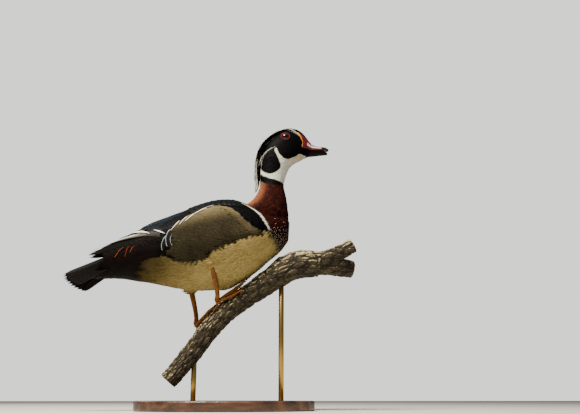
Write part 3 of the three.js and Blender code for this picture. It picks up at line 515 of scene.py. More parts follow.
    # Each feather is a little darker at its root: painted shade where the feathers overlap
    shade = addNode(tree, "ShaderNodeValToRGB", {"stops": [(0.1, 0.86), (0.7, 1.0)]}, [along])
    color = addNode(tree, "ShaderNodeMix", {**colors, "blend_type": "MULTIPLY"}, [1.0, color, shade])
    matt = addNode(tree, "ShaderNodeMath", larger, [white, cream])
    silky = addNode(tree, "ShaderNodeMath", times, [chestnut, 0.8])
    silky = addNode(tree, "ShaderNodeMath", larger, [olive, silky])
    matt = addNode(tree, "ShaderNodeMath", larger, [matt, silky])
    rough = addNode(tree, "ShaderNodeMix", shares, [matt, 0.56, 0.85])
    barbs = addNode(tree, "ShaderNodeMath", plus, [along, off])
    barbs = addNode(tree, "ShaderNodeMath", times, [barbs, 90.0])
    barbs = addNode(tree, "ShaderNodeMath", sine, [barbs])
    barbs = addNode(tree, "ShaderNodeMath", times, [barbs, 0.3])
    height = addNode(tree, "ShaderNodeMath", plus, [barbs, fine])
    bump = addNode(tree, "ShaderNodeBump", None, {"Strength": 0.25, "Distance": 0.0003, "Height": height})
    feed(shader, {"Base Color": color, "Roughness": rough, "Specular IOR Level": 0.05, "Normal": bump})
    return material


bodyFeather = featherMaterial("featherSilky", 0.5)
glossFeather = featherMaterial("featherGlossed", 0.8)


# Making, joining and finishing meshes

def newObject(name, mesh):
    piece = bpy.data.objects.new(name, mesh)
    bpy.context.scene.collection.objects.link(piece)
    return piece


def shadeSmooth(mesh):
    mesh.polygons.foreach_set("use_smooth", np.ones(len(mesh.polygons), bool))
    mesh.update()


# The rim of a thin shell is sharp, so that its upper face shades like the plumage and not like its edge.
# Upper and under faces take turns in every feather.
def sharpenRims(mesh):
    edge = np.empty(len(mesh.loops), np.int32)
    mesh.loops.foreach_get("edge_index", edge)
    under = (np.arange(len(mesh.loops)) // 4) % 2
    upper = np.bincount(edge, 1 - under, len(mesh.edges)) > 0
    rim = upper & (np.bincount(edge, under, len(mesh.edges)) > 0)
    sharp = mesh.attributes.get("sharp_edge") or mesh.attributes.new("sharp_edge", "BOOLEAN", "EDGE")
    sharp.data.foreach_set("value", rim)
    mesh.update()


def buildMesh(name, points, faces):
    mesh = bpy.data.meshes.new(name)
    mesh.from_pydata(mm(points).tolist(), [], faces if isinstance(faces, list) else faces.tolist())
    mesh.update()
    shadeSmooth(mesh)
    return mesh


def finishPiece(piece, replaced=(), material=None):
    if material is not None:
        piece.data.materials.clear()
        piece.data.materials.append(material)
    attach(piece, body)
    if replaced:
        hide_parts(*replaced)
    return piece


# Rings of points joined into a closed tube
def loft(rings):
    count, around = rings.shape[:2]
    points = np.concatenate([rings.reshape(-1, 3), rings[:1].mean(1), rings[-1:].mean(1)])
    faces = []
    for i in range(count - 1):
        for j in range(around):
            k = (j + 1) % around
            faces.append((i * around + j, i * around + k, (i + 1) * around + k, (i + 1) * around + j))
    first, last = count * around, count * around + 1
    for j in range(around):
        k = (j + 1) % around
        faces.append((first, k, j))
        faces.append((last, (count - 1) * around + j, (count - 1) * around + k))
    return points, faces


def applied(piece):
    graph = bpy.context.evaluated_depsgraph_get()
    mesh = bpy.data.meshes.new_from_object(piece.evaluated_get(graph))
    old = piece.data
    piece.modifiers.clear()
    piece.data = mesh
    bpy.data.meshes.remove(old)
    return mesh


def remeshed(piece, voxel, passes, factor=0.5):
    remesh = piece.modifiers.new("even", "REMESH")
    remesh.mode = "VOXEL"
    remesh.voxel_size = voxel * 0.001
    soften = piece.modifiers.new("soften", "SMOOTH")
    soften.factor = factor
    soften.iterations = passes
    mesh = applied(piece)
    shadeSmooth(mesh)
    return mesh


# A smooth copy of some of the CAD nodes, as one closed piece; the voxel is in mm
def softCopy(name, nodes, voxel, passes):
    points, faces = [], []
    for node in nodes:
        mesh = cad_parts[node].data
        start = sum(len(p) for p in points)
        points.append(vertices(mesh))
        faces += [tuple(start + v for v in polygon.vertices) for polygon in mesh.polygons]
    piece = newObject(name, buildMesh(name, np.concatenate(points), faces))
    weld = piece.modifiers.new("weld", "WELD")
    weld.merge_threshold = 0.00002  # 0.02 mm
    remeshed(piece, voxel, passes)
    return piece


# Skin: one closed form under all the feathers

# How deep the skin lies under the feathers' outline; on the flank it rises, where the coat is thinner
skinLook = {"voxel": 1.7, "passes": 6, "trunkDepth": 2.8, "flankRise": 1.7, "neckDepth": 2.2,
            "headDepth": 1.2, "around": 96, "along": 70, "ribs": 80, "thigh": 0.94}


def makeSkin():
    turns = np.linspace(0, 2 * np.pi, skinLook["around"], endpoint=False)
    x = mix(form["rump"][1] + 3, form["breast"][1] - 3,
            0.5 - 0.5 * np.cos(np.pi * np.linspace(0, 1, skinLook["along"])))
    place = trunkPoint(x[:, None], turns[None, :])
    along, turn = trunkChart(place.reshape(-1, 3))
    rise = 1 - smooth(outlineDistance(along, turn, markings["flank"]), -5, -0.5)
    rise *= np.clip((116 - turn) / 30, 0, 1)
    depth = skinLook["trunkDepth"] - skinLook["flankRise"] * rise.reshape(place.shape[:2])
    trunk = fleshPoint(x[:, None], turns[None, :], depth)
    ribs = np.linspace(0, 13.7, skinLook["ribs"])
    depth = mix(skinLook["neckDepth"], skinLook["headDepth"], smooth(ribs, 4, 8))
    neck = neckPoint(ribs[:, None], turns[None, :], depth[:, None])
    points, faces = loft(trunk)
    more, moreFaces = loft(neck)
    faces += [tuple(len(points) + v for v in face) for face in moreFaces]
    allPoints = [points, more]
    for side in ("left", "right"):
        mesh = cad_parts["thigh_" + side].data
        start = sum(len(p) for p in allPoints)
        thigh = vertices(mesh)
        allPoints.append(thigh.mean(0) + (thigh - thigh.mean(0)) * skinLook["thigh"])
        faces += [tuple(start + v for v in polygon.vertices) for polygon in mesh.polygons]
    piece = newObject("skin", buildMesh("skin", np.concatenate(allPoints), faces))
    remeshed(piece, skinLook["voxel"], skinLook["passes"])
    return piece


skin = makeSkin()
skinPoints = vertices(skin.data)
print("skin:", len(skinPoints), "points")


# The way the feathers lie: from the bill over the head, down the neck, and back along the trunk
def lieOfFeathers(points, normals):
    rib, _ = neckChart(points)
    row = neckRow(rib)
    rise = row[:, 2:4] - row[:, 0:2]
    rise /= np.linalg.norm(rise, axis=1, keepdims=True)
    down = np.stack([-rise[:, 1], 0 * rib, rise[:, 0]], -1)
    back = np.stack([-np.ones(len(points)), 0 * rib, -1.3 * np.clip(normals[:, 0], 0, 1)], -1)
    top = trunkRow(np.clip(points[:, 0], -200, 70))[:, 0]
    onNeck = np.maximum(smooth(points[:, 2] - top, -6, 14),
                        smooth(points[:, 0], 66, 96) * smooth(points[:, 2], 262, 300))
    lie = mix(back, down, onNeck[:, None])
    lie -= normals * (lie * normals).sum(1, keepdims=True)
    return lie / (np.linalg.norm(lie, axis=1, keepdims=True) + 1e-9)


def meshNormals(mesh):
    flat = np.empty(len(mesh.vertices) * 3, np.float32)
    mesh.vertex_normals.foreach_get("vector", flat)
    return flat.reshape(-1, 3).astype(float)


skinNormals = meshNormals(skin.data)
skinMarks = paint(skinPoints)
setMarks(skin.data, skinMarks)
setFloats(skin.data, "tint", np.full(len(skinPoints), 0.45))
setUv(skin.data, "vane", np.full(len(skin.data.loops) * 2, 0.5))
lie = skin.data.attributes.new("lie", "FLOAT_VECTOR", "POINT")
lie.data.foreach_set("vector", lieOfFeathers(skinPoints, skinNormals).astype(np.float32).ravel())


# Where each feather's colours are baked: a small patch of its own round its root's place on the bird
def bakeMap(mesh, roots, vaneUv):
    setUv(mesh, "OFBake", unwrap(roots)[cornerVertices(mesh)] + (vaneUv - 0.5) * 0.003)


def loopUv(mesh, name):
    flat = np.empty(len(mesh.loops) * 2, np.float32)
    mesh.uv_layers[name].data.foreach_get("uv", flat)
    return flat.reshape(-1, 2)


# One feather is a thin closed shell. Its grid gives how far along and across each point is, and whether it is
# on the underside. The rim is shared.
def shellGrid(rows, columns):
    t, v = np.meshgrid(np.linspace(0, 1, rows + 1), np.linspace(-1, 1, columns + 1), indexing="ij")
    t, v = t.ravel(), v.ravel()
    rim = (t == 0) | (t == 1) | (np.abs(v) == 1)
    under = np.arange(len(t))
    under[~rim] = len(t) + np.arange((~rim).sum())
    faces = []
    for r in range(rows):
        for c in range(columns):
            a = r * (columns + 1) + c
            quad = (a, a + 1, a + columns + 2, a + columns + 1)
            faces += [quad, tuple(under[q] for q in reversed(quad))]
    low = np.concatenate([np.zeros(len(t)), np.ones((~rim).sum())])
    return np.concatenate([t, t[~rim]]), np.concatenate([v, v[~rim]]), low, np.array(faces)


# Width along a feather as a share of its full width
def vaneOutline(t, root=0.3, tipFrom=0.7, point=0.12):
    end = np.clip((t - tipFrom) / (1 - tipFrom), 0, 1)
    return mix(root, 1, smooth(t, 0, 0.4)) * mix(point, 1, np.sqrt(1 - np.clip(end, 0, 1) ** 2))


# A small feather for the coat, one unit long: root at the origin, tip along +Y, upper face +Z
def featherTemplate(name, rows, columns, width, camber, thickness, curl, **outline):
    t, v, low, faces = shellGrid(rows, columns)
    half = vaneOutline(t, **outline) * width / 2
    height = camber * (1 - v ** 2) + curl * t ** 2 - thickness * low
    mesh = bpy.data.meshes.new(name)
    mesh.from_pydata(np.stack([v * half, t, height], -1).tolist(), [], faces.tolist())
    setUv(mesh, "vane", np.stack([0.5 + v / 2, t], -1)[cornerVertices(mesh)])
    shadeSmooth(mesh)
    return bpy.data.objects.new(name, mesh)


# Coat: feathers set on the skin by Geometry Nodes, turned to the lie, then made plain mesh
def coatTree():
    tree = bpy.data.node_groups.new("coat", "GeometryNodeTree")
    tree.interface.new_socket("Geometry", in_out="INPUT", socket_type="NodeSocketGeometry")
    for name, kind in (("Feather", "Object"), ("Area", "String"), ("Spacing", "Float"), ("Length", "Float"),
                       ("Lift", "Float"), ("Stray", "Float"), ("Seed", "Int"), ("Material", "Material")):
        tree.interface.new_socket(name, in_out="INPUT", socket_type="NodeSocket" + kind)
    tree.interface.new_socket("Geometry", in_out="OUTPUT", socket_type="NodeSocketGeometry")
    given = addNode(tree, "NodeGroupInput").outputs
    area = addNode(tree, "GeometryNodeInputNamedAttribute", shares, {"Name": given["Area"]})
    points = addNode(tree, "GeometryNodeDistributePointsOnFaces", {"distribute_method": "POISSON"},
                     {"Mesh": given["Geometry"], "Distance Min": given["Spacing"], "Density Max": 4.0e6,
                      "Density Factor": area, "Seed": given["Seed"]})
    lie = addNode(tree, "GeometryNodeInputNamedAttribute", {"data_type": "FLOAT_VECTOR"}, {"Name": "lie"})
    facing = addNode(tree, "FunctionNodeAxesToRotation", {"primary_axis": "Z", "secondary_axis": "Y"},
                     {"Primary Axis": points.outputs["Normal"], "Secondary Axis": lie})
    most = addNode(tree, "ShaderNodeVectorMath", {"operation": "SCALE"},
                   {0: (0.2, 0.3, 1.0), "Scale": given["Stray"]})
    least = addNode(tree, "ShaderNodeVectorMath", {"operation": "SCALE"}, {0: most, "Scale": -1.0})
    chance = addNode(tree, "FunctionNodeRandomValue", {"data_type": "FLOAT_VECTOR"},
                     {"Min": least, "Max": most, "Seed": given["Seed"]})
    lifted = addNode(tree, "ShaderNodeCombineXYZ", None, {"X": given["Lift"]})
    turned = addNode(tree, "ShaderNodeVectorMath", plus, [chance, lifted])
    rotation = addNode(tree, "FunctionNodeRotateRotation", {"rotation_space": "LOCAL"},
                       {"Rotation": facing, "Rotate By": turned})
    size = addNode(tree, "FunctionNodeRandomValue", shares, {"Min": 0.86, "Max": 1.1, "Seed": 5})
    grain = addNode(tree, "GeometryNodeInputNamedAttribute", shares, {"Name": "grain"})
    scaled = addNode(tree, "ShaderNodeMath", times, [size, given["Length"]])
    scaled = addNode(tree, "ShaderNodeMath", times, [scaled, grain])
    source = addNode(tree, "GeometryNodeObjectInfo", None, {"Object": given["Feather"]})
    placed = addNode(tree, "GeometryNodeInstanceOnPoints", None,
                     {"Points": points.outputs["Points"], "Instance": source.outputs["Geometry"],
                      "Rotation": rotation, "Scale": scaled})
    where = addNode(tree, "GeometryNodeInputPosition")
    rooted = addNode(tree, "GeometryNodeStoreNamedAttribute",
                     {"data_type": "FLOAT_VECTOR", "domain": "INSTANCE"},
                     {"Geometry": placed, "Name": "root", "Value": where})
    chosen = addNode(tree, "FunctionNodeRandomValue", shares, {"Min": 0.0, "Max": 1.0, "Seed": 9})
    tinted = addNode(tree, "GeometryNodeStoreNamedAttribute", {"data_type": "FLOAT", "domain": "INSTANCE"},
                     {"Geometry": rooted, "Name": "tint", "Value": chosen})
    real = addNode(tree, "GeometryNodeRealizeInstances", None, {"Geometry": tinted})
    dressed = addNode(tree, "GeometryNodeSetMaterial", None,
                      {"Geometry": real, "Material": given["Material"]})
    addNode(tree, "NodeGroupOutput", None, {0: dressed})
    return tree


coatNodes = coatTree()
coatInputs = {item.name: item.identifier for item in coatNodes.interface.items_tree
              if item.item_type == "SOCKET" and item.in_out == "INPUT"}


def makeCoat(name, look, area, material, replaced=()):
    setFloats(skin.data, "area", area)
    setFloats(skin.data, "grain", look.get("grain", np.ones(len(skinPoints))))
    mesh = skin.data.copy()
    base = newObject(name, mesh)
    feather = featherTemplate(name + "Feather", **look["feather"])
    modifier = base.modifiers.new("coat", "NODES")
    modifier.node_group = coatNodes
    values = {"Feather": feather, "Area": "area", "Spacing": look["spacing"] * 0.001,
              "Length": look["length"] * 0.001, "Lift": math.radians(look["lift"]),
              "Stray": math.radians(look["stray"]), "Seed": look["seed"], "Material": material}
    for key, value in values.items():
        modifier[coatInputs[key]] = value
    coat = applied(base)
    roots = readAttribute(coat, "root", 3).astype(float) * 1000
    points = vertices(coat)
    setMarks(coat, paint(mix(roots, points, look["follow"])))
    bakeMap(coat, roots, loopUv(coat, "vane"))
    for spare in ("root", "lie", "area", "grain"):
        if spare in coat.attributes:
            coat.attributes.remove(coat.attributes[spare])
    shadeSmooth(coat)
    sharpenRims(coat)
    finishPiece(base, replaced)
    bpy.data.objects.remove(feather)
    facesEach = 2 * look["feather"]["rows"] * look["feather"]["columns"]
    print(name, "feathers:", len(coat.polygons) // facesEach, "faces:", len(coat.polygons))
    return base


# Feathers laid on the bird's form one by one

# A row is place and degrees of the root, the same of the tip, width in mm, height of root, middle and tip
def laidFeathers(name, surface, rows, look, material, replaced=(), tipward=-1, marks=None):
    rows = np.array(rows, float)
    t, v, low, faces = shellGrid(look["rows"], look["columns"])
    rng = np.random.default_rng(look["seed"])
    u0, a0, u1, a1, width, h0, h1, h2 = (rows[:, i:i + 1] for i in range(8))
    middleU, middleA = (u0 + u1) / 2, np.radians((a0 + a1) / 2)
    reach = np.linalg.norm(surface(middleU, middleA + 0.01) - surface(middleU, middleA - 0.01),
                           axis=-1) / 0.02
    bend = rng.uniform(-1, 1, (len(rows), 1)) * look.get("bend", 0)
    share = t - look.get("sweep", 0.06) * v ** 2 * t ** 4
    u = mix(u0, u1, share)
    follow = look.get("path", lambda place: 1.0)(u)
    outline = vaneOutline(t, look.get("root", 0.5), look.get("tipFrom", 0.72), look.get("point", 0.1))
    ragged = 1 + look.get("ragged", 0.0) * rng.uniform(-1, 1, (len(rows), len(t))) * (np.abs(v) == 1)
    angle = np.radians((mix(a0, a1, t) + bend * t ** 2) * follow) + v * outline * ragged * width / 2 / reach
    height = np.where(t < 0.5, mix(h0, h1, smooth(t, 0, 0.5)), mix(h1, h2, smooth(t, 0.5, 1)))
    height = height + look.get("camber", 0.4) * (1 - v ** 2) - look.get("thickness", 0.25) * low
    height = height + look.get("frill", 0) * np.sin(v * 4 + rng.uniform(0, 6, (len(rows), 1))) * t
    points = above(surface, u, angle, height, tipward)
    flat = points.reshape(-1, 3)
    count = len(t)
    allFaces = (faces[None] + np.arange(len(rows))[:, None, None] * count).reshape(-1, 4)
    mesh = buildMesh(name, flat, allFaces)
    sharpenRims(mesh)
    outward = np.where(a0 < 0, -v, v)
    uv = np.stack([0.5 + outward / 2, np.broadcast_to(t, u.shape)], -1).reshape(-1, 2)
    uv = uv[cornerVertices(mesh)]
    setUv(mesh, "vane", uv)
    roots = np.repeat(above(surface, u0, np.radians(a0), h0, tipward).reshape(-1, 3), count, axis=0)
    bakeMap(mesh, roots, uv)
    setMarks(mesh, marks if marks is not None else paint(flat))
    setFloats(mesh, "tint", np.repeat(rng.uniform(0, 1, len(rows)), count))
    piece = newObject(name, mesh)
    finishPiece(piece, replaced, material)
    print(name, "feathers:", len(rows), "faces:", len(allFaces))
    return piece


def bothSides(rows):
    rows = np.array(rows, float)
    other = rows.copy()
    other[:, 1] *= -1
    other[:, 3] *= -1
    return np.concatenate([rows, other])


# Flight feathers and scapulars: black keratin vanes whose fine layers throw green, blue and violet, laid in
# as a painted sheen that grows where they turn away.
# A patch is across from and to, along from and to, as shares of the vane from its upper side, and a colour.
# Rims are where the end rounds off, where its black edge starts, and where the white in it starts and ends.
def vaneMaterial(name, tones, patches=(), rough=0.48, specular=0.08, rims=None):
    material, tree, shader = newMaterial(name)
    vane = addNode(tree, "ShaderNodeUVMap", {"uv_map": "vane"})
    across, along, _ = addNode(tree, "ShaderNodeSeparateXYZ", None, [vane]).outputs
    off = addNode(tree, "ShaderNodeMath", minus, [across, 0.5])
    off = addNode(tree, "ShaderNodeMath", {"operation": "ABSOLUTE"}, [off])
    square = addNode(tree, "ShaderNodeMath", times, [off, off])
    tipward = addNode(tree, "ShaderNodeMath", times, [square, 0.18])
    tipward = addNode(tree, "ShaderNodeMath", plus, [along, tipward])
    facing = addNode(tree, "ShaderNodeLayerWeight", None, {"Blend": 0.4}).outputs["Facing"]
    hue = addNode(tree, "ShaderNodeMix", shares, [0.55, mottling(tree, 26, 2), facing])
    brighter = addNode(tree, "ShaderNodeMath", times, [along, 0.12])
    hue = addNode(tree, "ShaderNodeMath", plus, [hue, brighter])
    color = addNode(tree, "ShaderNodeValToRGB", {"stops": tones}, [hue])
    shaft = addNode(tree, "ShaderNodeMath", less, [off, 0.03])
    shaft = addNode(tree, "ShaderNodeMath", times, [shaft, 0.6])
    color = addNode(tree, "ShaderNodeMix", colors, [shaft, color, "#050505"])
    frayed = addNode(tree, "ShaderNodeMath", minus, [mottling(tree, 0.7, 2), 0.5])
    frayed = addNode(tree, "ShaderNodeMath", times, [frayed, 0.05])
    for low, high, start, end, tint in patches:
        inside = None
        borders = ((across, low, greater), (across, high, less), (tipward, start, greater),
                   (tipward, end, less))
        for place, border, test in borders:
            if border in (0, 1):
                continue
            part = addNode(tree, "ShaderNodeMath", plus, [place, frayed])
            part = addNode(tree, "ShaderNodeMath", test, [part, border])
            inside = part if inside is None else addNode(tree, "ShaderNodeMath", times, [inside, part])
        color = addNode(tree, "ShaderNodeMix", colors, [inside, color, tint])
    if rims:
        turnIn, black, white, outer = rims
        end = addNode(tree, "ShaderNodeMath", minus, [along, turnIn])
        end = addNode(tree, "ShaderNodeMath", {"operation": "DIVIDE"}, [end, 1 - turnIn])
        end = addNode(tree, "ShaderNodeMath", larger, [end, 0.0])
        end = addNode(tree, "ShaderNodeMath", times, [end, end])
        wide = addNode(tree, "ShaderNodeMath", times, [square, 4.0])
        rest = addNode(tree, "ShaderNodeMath", minus, [1.0, end])
        rim = addNode(tree, "ShaderNodeMath", times, [wide, rest])
        rim = addNode(tree, "ShaderNodeMath", plus, [rim, end])
        rim = addNode(tree, "ShaderNodeMath", {"operation": "SQRT"}, [rim])
        rim = addNode(tree, "ShaderNodeMath", plus, [rim, frayed])
        late = addNode(tree, "ShaderNodeMath", greater, [along, 0.8])
        edge = addNode(tree, "ShaderNodeMath", greater, [rim, black])
        edge = addNode(tree, "ShaderNodeMath", times, [late, edge])
        color = addNode(tree, "ShaderNodeMix", colors, [edge, color, "#0a0909"])
        beyond = addNode(tree, "ShaderNodeMath", greater, [rim, white])
        before = addNode(tree, "ShaderNodeMath", less, [rim, outer])
        band = addNode(tree, "ShaderNodeMath", times, [beyond, before])
        band = addNode(tree, "ShaderNodeMath", times, [late, band])
        # The pale band is white drawn blue-grey: painted shade
        color = addNode(tree, "ShaderNodeMix", colors, [band, color, "#b4b8be"])
    barbs = addNode(tree, "ShaderNodeMath", times, [off, 0.35])
    barbs = addNode(tree, "ShaderNodeMath", plus, [along, barbs])
    barbs = addNode(tree, "ShaderNodeMath", times, [barbs, 420.0])
    barbs = addNode(tree, "ShaderNodeMath", sine, [barbs])
    bump = addNode(tree, "ShaderNodeBump", None, {"Strength": 0.06, "Distance": 0.0001, "Height": barbs})
    feed(shader, {"Base Color": color, "Roughness": rough, "Specular IOR Level": specular, "Normal": bump})
    return material


greenBlue = [(0.3, "#030405"), (0.5, "#040a12"), (0.65, "#06141d"), (0.85, "#0c1c36")]
bronze = [(0.3, "#040404"), (0.55, "#060708"), (0.72, "#090f12"), (0.88, "#0e1620")]
brownBlack = [(0.3, "#040303"), (0.85, "#0b0807")]


# Coat of small feathers

rib, nape = neckChart(skinPoints)
trunkX, turn = trunkChart(skinPoints)
topOfTrunk = trunkRow(np.clip(trunkX, -200, 70))[:, 0]
isNeck = smooth(skinPoints[:, 2] - topOfTrunk, -2, 6)
eyePlace = np.array([93.5, 431.6])
eyeAway = np.hypot(skinPoints[:, 0] - eyePlace[0], (skinPoints[:, 2] - eyePlace[1]) * 1.08)
eyeAway = np.where(np.abs(skinPoints[:, 1]) > 12, eyeAway, 99)
shield = [(113.5, 440), (118.5, 441), (126, 434.5), (134, 428), (140, 425), (140, 414), (120.8, 414.5),
          (122, 424), (118, 433)]
billAway = outlineDistance(skinPoints[:, 0], skinPoints[:, 2], shield)
billAway = np.where((skinPoints[:, 2] > 436) & (np.abs(skinPoints[:, 1]) < 5), 9, billAway)
mouthAway = outlineDistance(skinPoints[:, 0], skinPoints[:, 2],
                            [(124, 415.5), (124, 411), (150, 405), (150, 416)])
bare = (eyeAway < 7.9) | (billAway < 0.8) | (mouthAway < 0)

fine = {"rows": 4, "columns": 2, "camber": 0.03, "thickness": 0.03, "curl": -0.13, "root": 0.6,
        "tipFrom": 0.35, "point": 0.08}
faceLook = {"spacing": 0.9, "length": 3.4, "lift": 15, "stray": 7, "seed": 3, "follow": 0.9,
            "feather": {**fine, "width": 0.36},
            "grain": mix(0.7, 1.2, smooth(np.hypot(skinPoints[:, 0] - 118, skinPoints[:, 2] - 425), 8, 50))}
makeCoat("faceFeathers", faceLook, isNeck * smooth(rib, 6.6, 7.4) * ~bare, glossFeather,
         ["head"])
fine = {**fine, "thickness": 0.014, "curl": -0.18}
neckLook = {"spacing": 1.25, "length": 6.5, "lift": 18, "stray": 6, "seed": 4, "follow": 0.9,
            "feather": {**fine, "width": 0.26}}
makeCoat("neckFeathers", neckLook, isNeck * smooth(rib, 7.4, 6.6), bodyFeather, ["neck"])
flankZone = (1 - isNeck) * (outlineDistance(trunkX - 8, turn, markings["flank"]) < 1)
breastZone = (1 - isNeck) * (1 - flankZone) * smooth(trunkX, 10, 30)
breastLook = {"spacing": 1.7, "length": 9, "lift": 20, "stray": 6, "seed": 5, "follow": 0.9,
              "feather": {**fine, "width": 0.26}}
makeCoat("breastFeathers", breastLook, breastZone, bodyFeather, ["torso"])
bellyZone = (1 - isNeck) * (1 - flankZone) * (1 - smooth(trunkX, 10, 30)) * smooth(turn, 86, 96)
bellyLook = {"spacing": 1.95, "length": 12, "lift": 22, "stray": 6, "seed": 6, "follow": 0.9,
             "feather": {**fine, "width": 0.25}}
makeCoat("bellyFeathers", bellyLook, bellyZone, bodyFeather, ["thigh_left", "thigh_right"])
backZone = (1 - isNeck) * (1 - flankZone) * (1 - smooth(trunkX, 10, 30)) * (1 - smooth(turn, 86, 96))
backLook = {"spacing": 2.4, "length": 12, "lift": 17, "stray": 5, "seed": 7, "follow": 0.6,
            "feather": {**fine, "width": 0.34}}
makeCoat("backFeathers", backLook, backZone, bodyFeather)

# Flank: broad soft feathers, then the barred row along the upper and rear edge

flankLook = {"spacing": 1.9, "length": 12, "lift": 11, "stray": 4, "seed": 8, "follow": 0.9,
             "feather": {**fine, "curl": -0.1, "width": 0.25}}
makeCoat("flankFeathers", flankLook, flankZone, bodyFeather, ["flank_left", "flank_right"])
# Upper row: long feathers with a white lens on the upper web. Rear rows: wide tips with a white crescent.
# x and degrees of root and tip, width in mm, heights
upperRows = [[-14, 40, -36, 42.5, 1.8, -0.6, 0.6, 0.5], [-26, 41, -51, 51, 3.8, -0.6, 0.7, 0.6],
             [-45, 46.5, -63, 59.5, 4.4, -0.6, 0.6, 0.5], [-57, 46.5, -71.5, 63, 4.2, -0.6, 0.5, 0.4],
             [-68.5, 51, -83, 69, 4, -0.6, 0.4, 0.3]]
rearRows = [[-62, 91, -97, 90, 28, -2.4, -1.7, -0.8], [-55, 81, -91, 81, 37, -2, -1.2, -0.3],
            [-52, 83, -84, 83, 27, -1.7, -0.9, -0.15]]
edgeLook = {"rows": 16, "columns": 8, "seed": 13, "camber": 0.3, "thickness": 0.25, "root": 0.1,
            "point": 0.05, "sweep": 0, "tipFrom": 0.45}
rearLook = {**edgeLook, "columns": 16, "rows": 24, "point": 0.0, "sweep": 0, "tipFrom": 0.76, "camber": 0.6,
            "root": 0.6}
night = [(0.2, "#040405"), (0.8, "#09090b")]
# Soft black vanes with a white lens on the upper half: read as a row of bright strokes
lensed = vaneMaterial("keratinWhiteLens", night, [(0.06, 0.62, 0.16, 1, "#dedcd4")], 0.7, 0.1)
# Soft black vanes with a pale blue-grey band inside a black edge: read as thin crescents, their white dimmed
# and cooled as painted shade
crescent = vaneMaterial("keratinWhiteCrescent", night, [], 0.7, 0.1, (0.76, 0.72, 0.86, 0.92))
laidFeathers("flankUpperRow", trunkPoint, bothSides(upperRows), edgeLook, lensed, marks={})
laidFeathers("flankRearRows", trunkPoint, bothSides(rearRows), rearLook, crescent, marks={})

# Wing: scapulars, tertials, secondaries, primaries

scapularRows = []
rng = np.random.default_rng(21)
for x in np.arange(-60, 14, 8.5):
    for degrees in np.arange(3, 38, 5.5):
        if degrees > 27 and x > 8:
            continue
        near = degrees + rng.uniform(-1, 1)
        scapularRows.append([min(x + 34, 28), near, x, near, 15, -2.4, -0.5, 0.4 + rng.uniform(-0.15, 0.15)])
scapularLook = {"rows": 8, "columns": 6, "seed": 22, "camber": 0.4, "thickness": 0.3, "bend": 1.5}
# Black vanes with a thin bronze and green film: nearly black, with a cold sheen where they turn away
scapularGloss = vaneMaterial("keratinBronzeGreen", bronze)
laidFeathers("scapulars", trunkPoint, bothSides(scapularRows), scapularLook, scapularGloss,
             ["wing_left", "wing_right"], marks={})
tertialRows = [[-40, 12, -130, 12, 13.5, -2.2, -0.5, 0.9], [-42, 22, -130, 22.5, 13.5, -2.4, -0.8, 0.6],
               [-44, 31, -124, 33, 13.5, -2.6, -1.1, 0.2], [-38, 5, -116, 4.5, 11, -2, -0.2, 0.9]]
tertialLook = {"rows": 24, "columns": 8, "seed": 23, "camber": 0.6, "thickness": 0.35, "tipFrom": 0.84,
               "root": 0.7}
# The same keratin with a stronger film: a deep navy gloss
tertialGloss = vaneMaterial("keratinBlueGreen", greenBlue)
laidFeathers("tertials", trunkPoint, bothSides(tertialRows), tertialLook, tertialGloss,
             marks={})
secondaryRows = [[-50, 42, -128, 41, 11, -2.8, -1.7, -0.2], [-58, 51, -121, 50, 11, -3, -2.1, -0.6],
                 [-64, 60, -110, 59, 11, -2.8, -2, -0.9]]
laidFeathers("secondaries", trunkPoint, bothSides(secondaryRows), {**tertialLook, "seed": 24}, tertialGloss,
             marks={})
# White ends of two secondaries that show between the dark vanes
whiteEnds = [[-91.5, 71.5, -109.5, 57, 2.3, -0.2, 0.5, 0.5], [-115, 62, -145, 27, 3.6, 0.6, 2.1, 2.2]]
endLook = {"rows": 20, "columns": 4, "seed": 28, "camber": 0.2, "thickness": 0.25, "root": 0.2,
           "tipFrom": 0.5, "point": 0.1}
# Keratin without pigment: matt and white
whiteVane = vaneMaterial("keratinWhite", [(0.2, "#dedbd2"), (0.8, "#f1efe8")], (), 0.6, 0.2)
laidFeathers("whiteEnds", trunkPoint, bothSides(whiteEnds), endLook, whiteVane, marks={})
primaryTips = [[-210, 49], [-207, 41], [-200, 34], [-190, 28], [-178, 22], [-165, 16]]
primaryRows = [[-92, 60 - 7 * i, x, degrees, 12, -2.6 + 0.35 * i, -1.6 + 0.4 * i, -0.9 + 0.4 * i]
               for i, (x, degrees) in enumerate(primaryTips)]
primaryLook = {"rows": 24, "columns": 6, "seed": 25, "camber": 0.3, "thickness": 0.3, "tipFrom": 0.88,
               "root": 0.7, "point": 0.1}
# Plain melanin keratin: brown-black and dull
darkVane = vaneMaterial("keratinBrownBlack", brownBlack, [], 0.6, 0.05)
laidFeathers("primaryFeathers", trunkPoint, bothSides(primaryRows), primaryLook, darkVane,
             ["primaries_left", "primaries_right"], marks={})
# The outer primary's silver web, bright along its upper side and brown below
silverRow = [[-100, 69, -206, 13, 6.5, -0.8, 1.2, 1.8]]
silverLook = {**endLook, "rows": 36, "seed": 29, "root": 0.9, "tipFrom": 0.35, "point": 0.1}
silverWeb = vaneMaterial("keratinSilverWeb", [(0.2, "#1b1714"), (0.8, "#2e2924")],
                         [(0, 0.8, 0.2, 1, "#57504a"), (0, 0.6, 0.3, 1, "#7a746d"),
                          (0, 0.4, 0.38, 1, "#b9b6b1")], 0.5, 0.15)
laidFeathers("silverWeb", trunkPoint, bothSides(silverRow), silverLook, silverWeb, marks={})

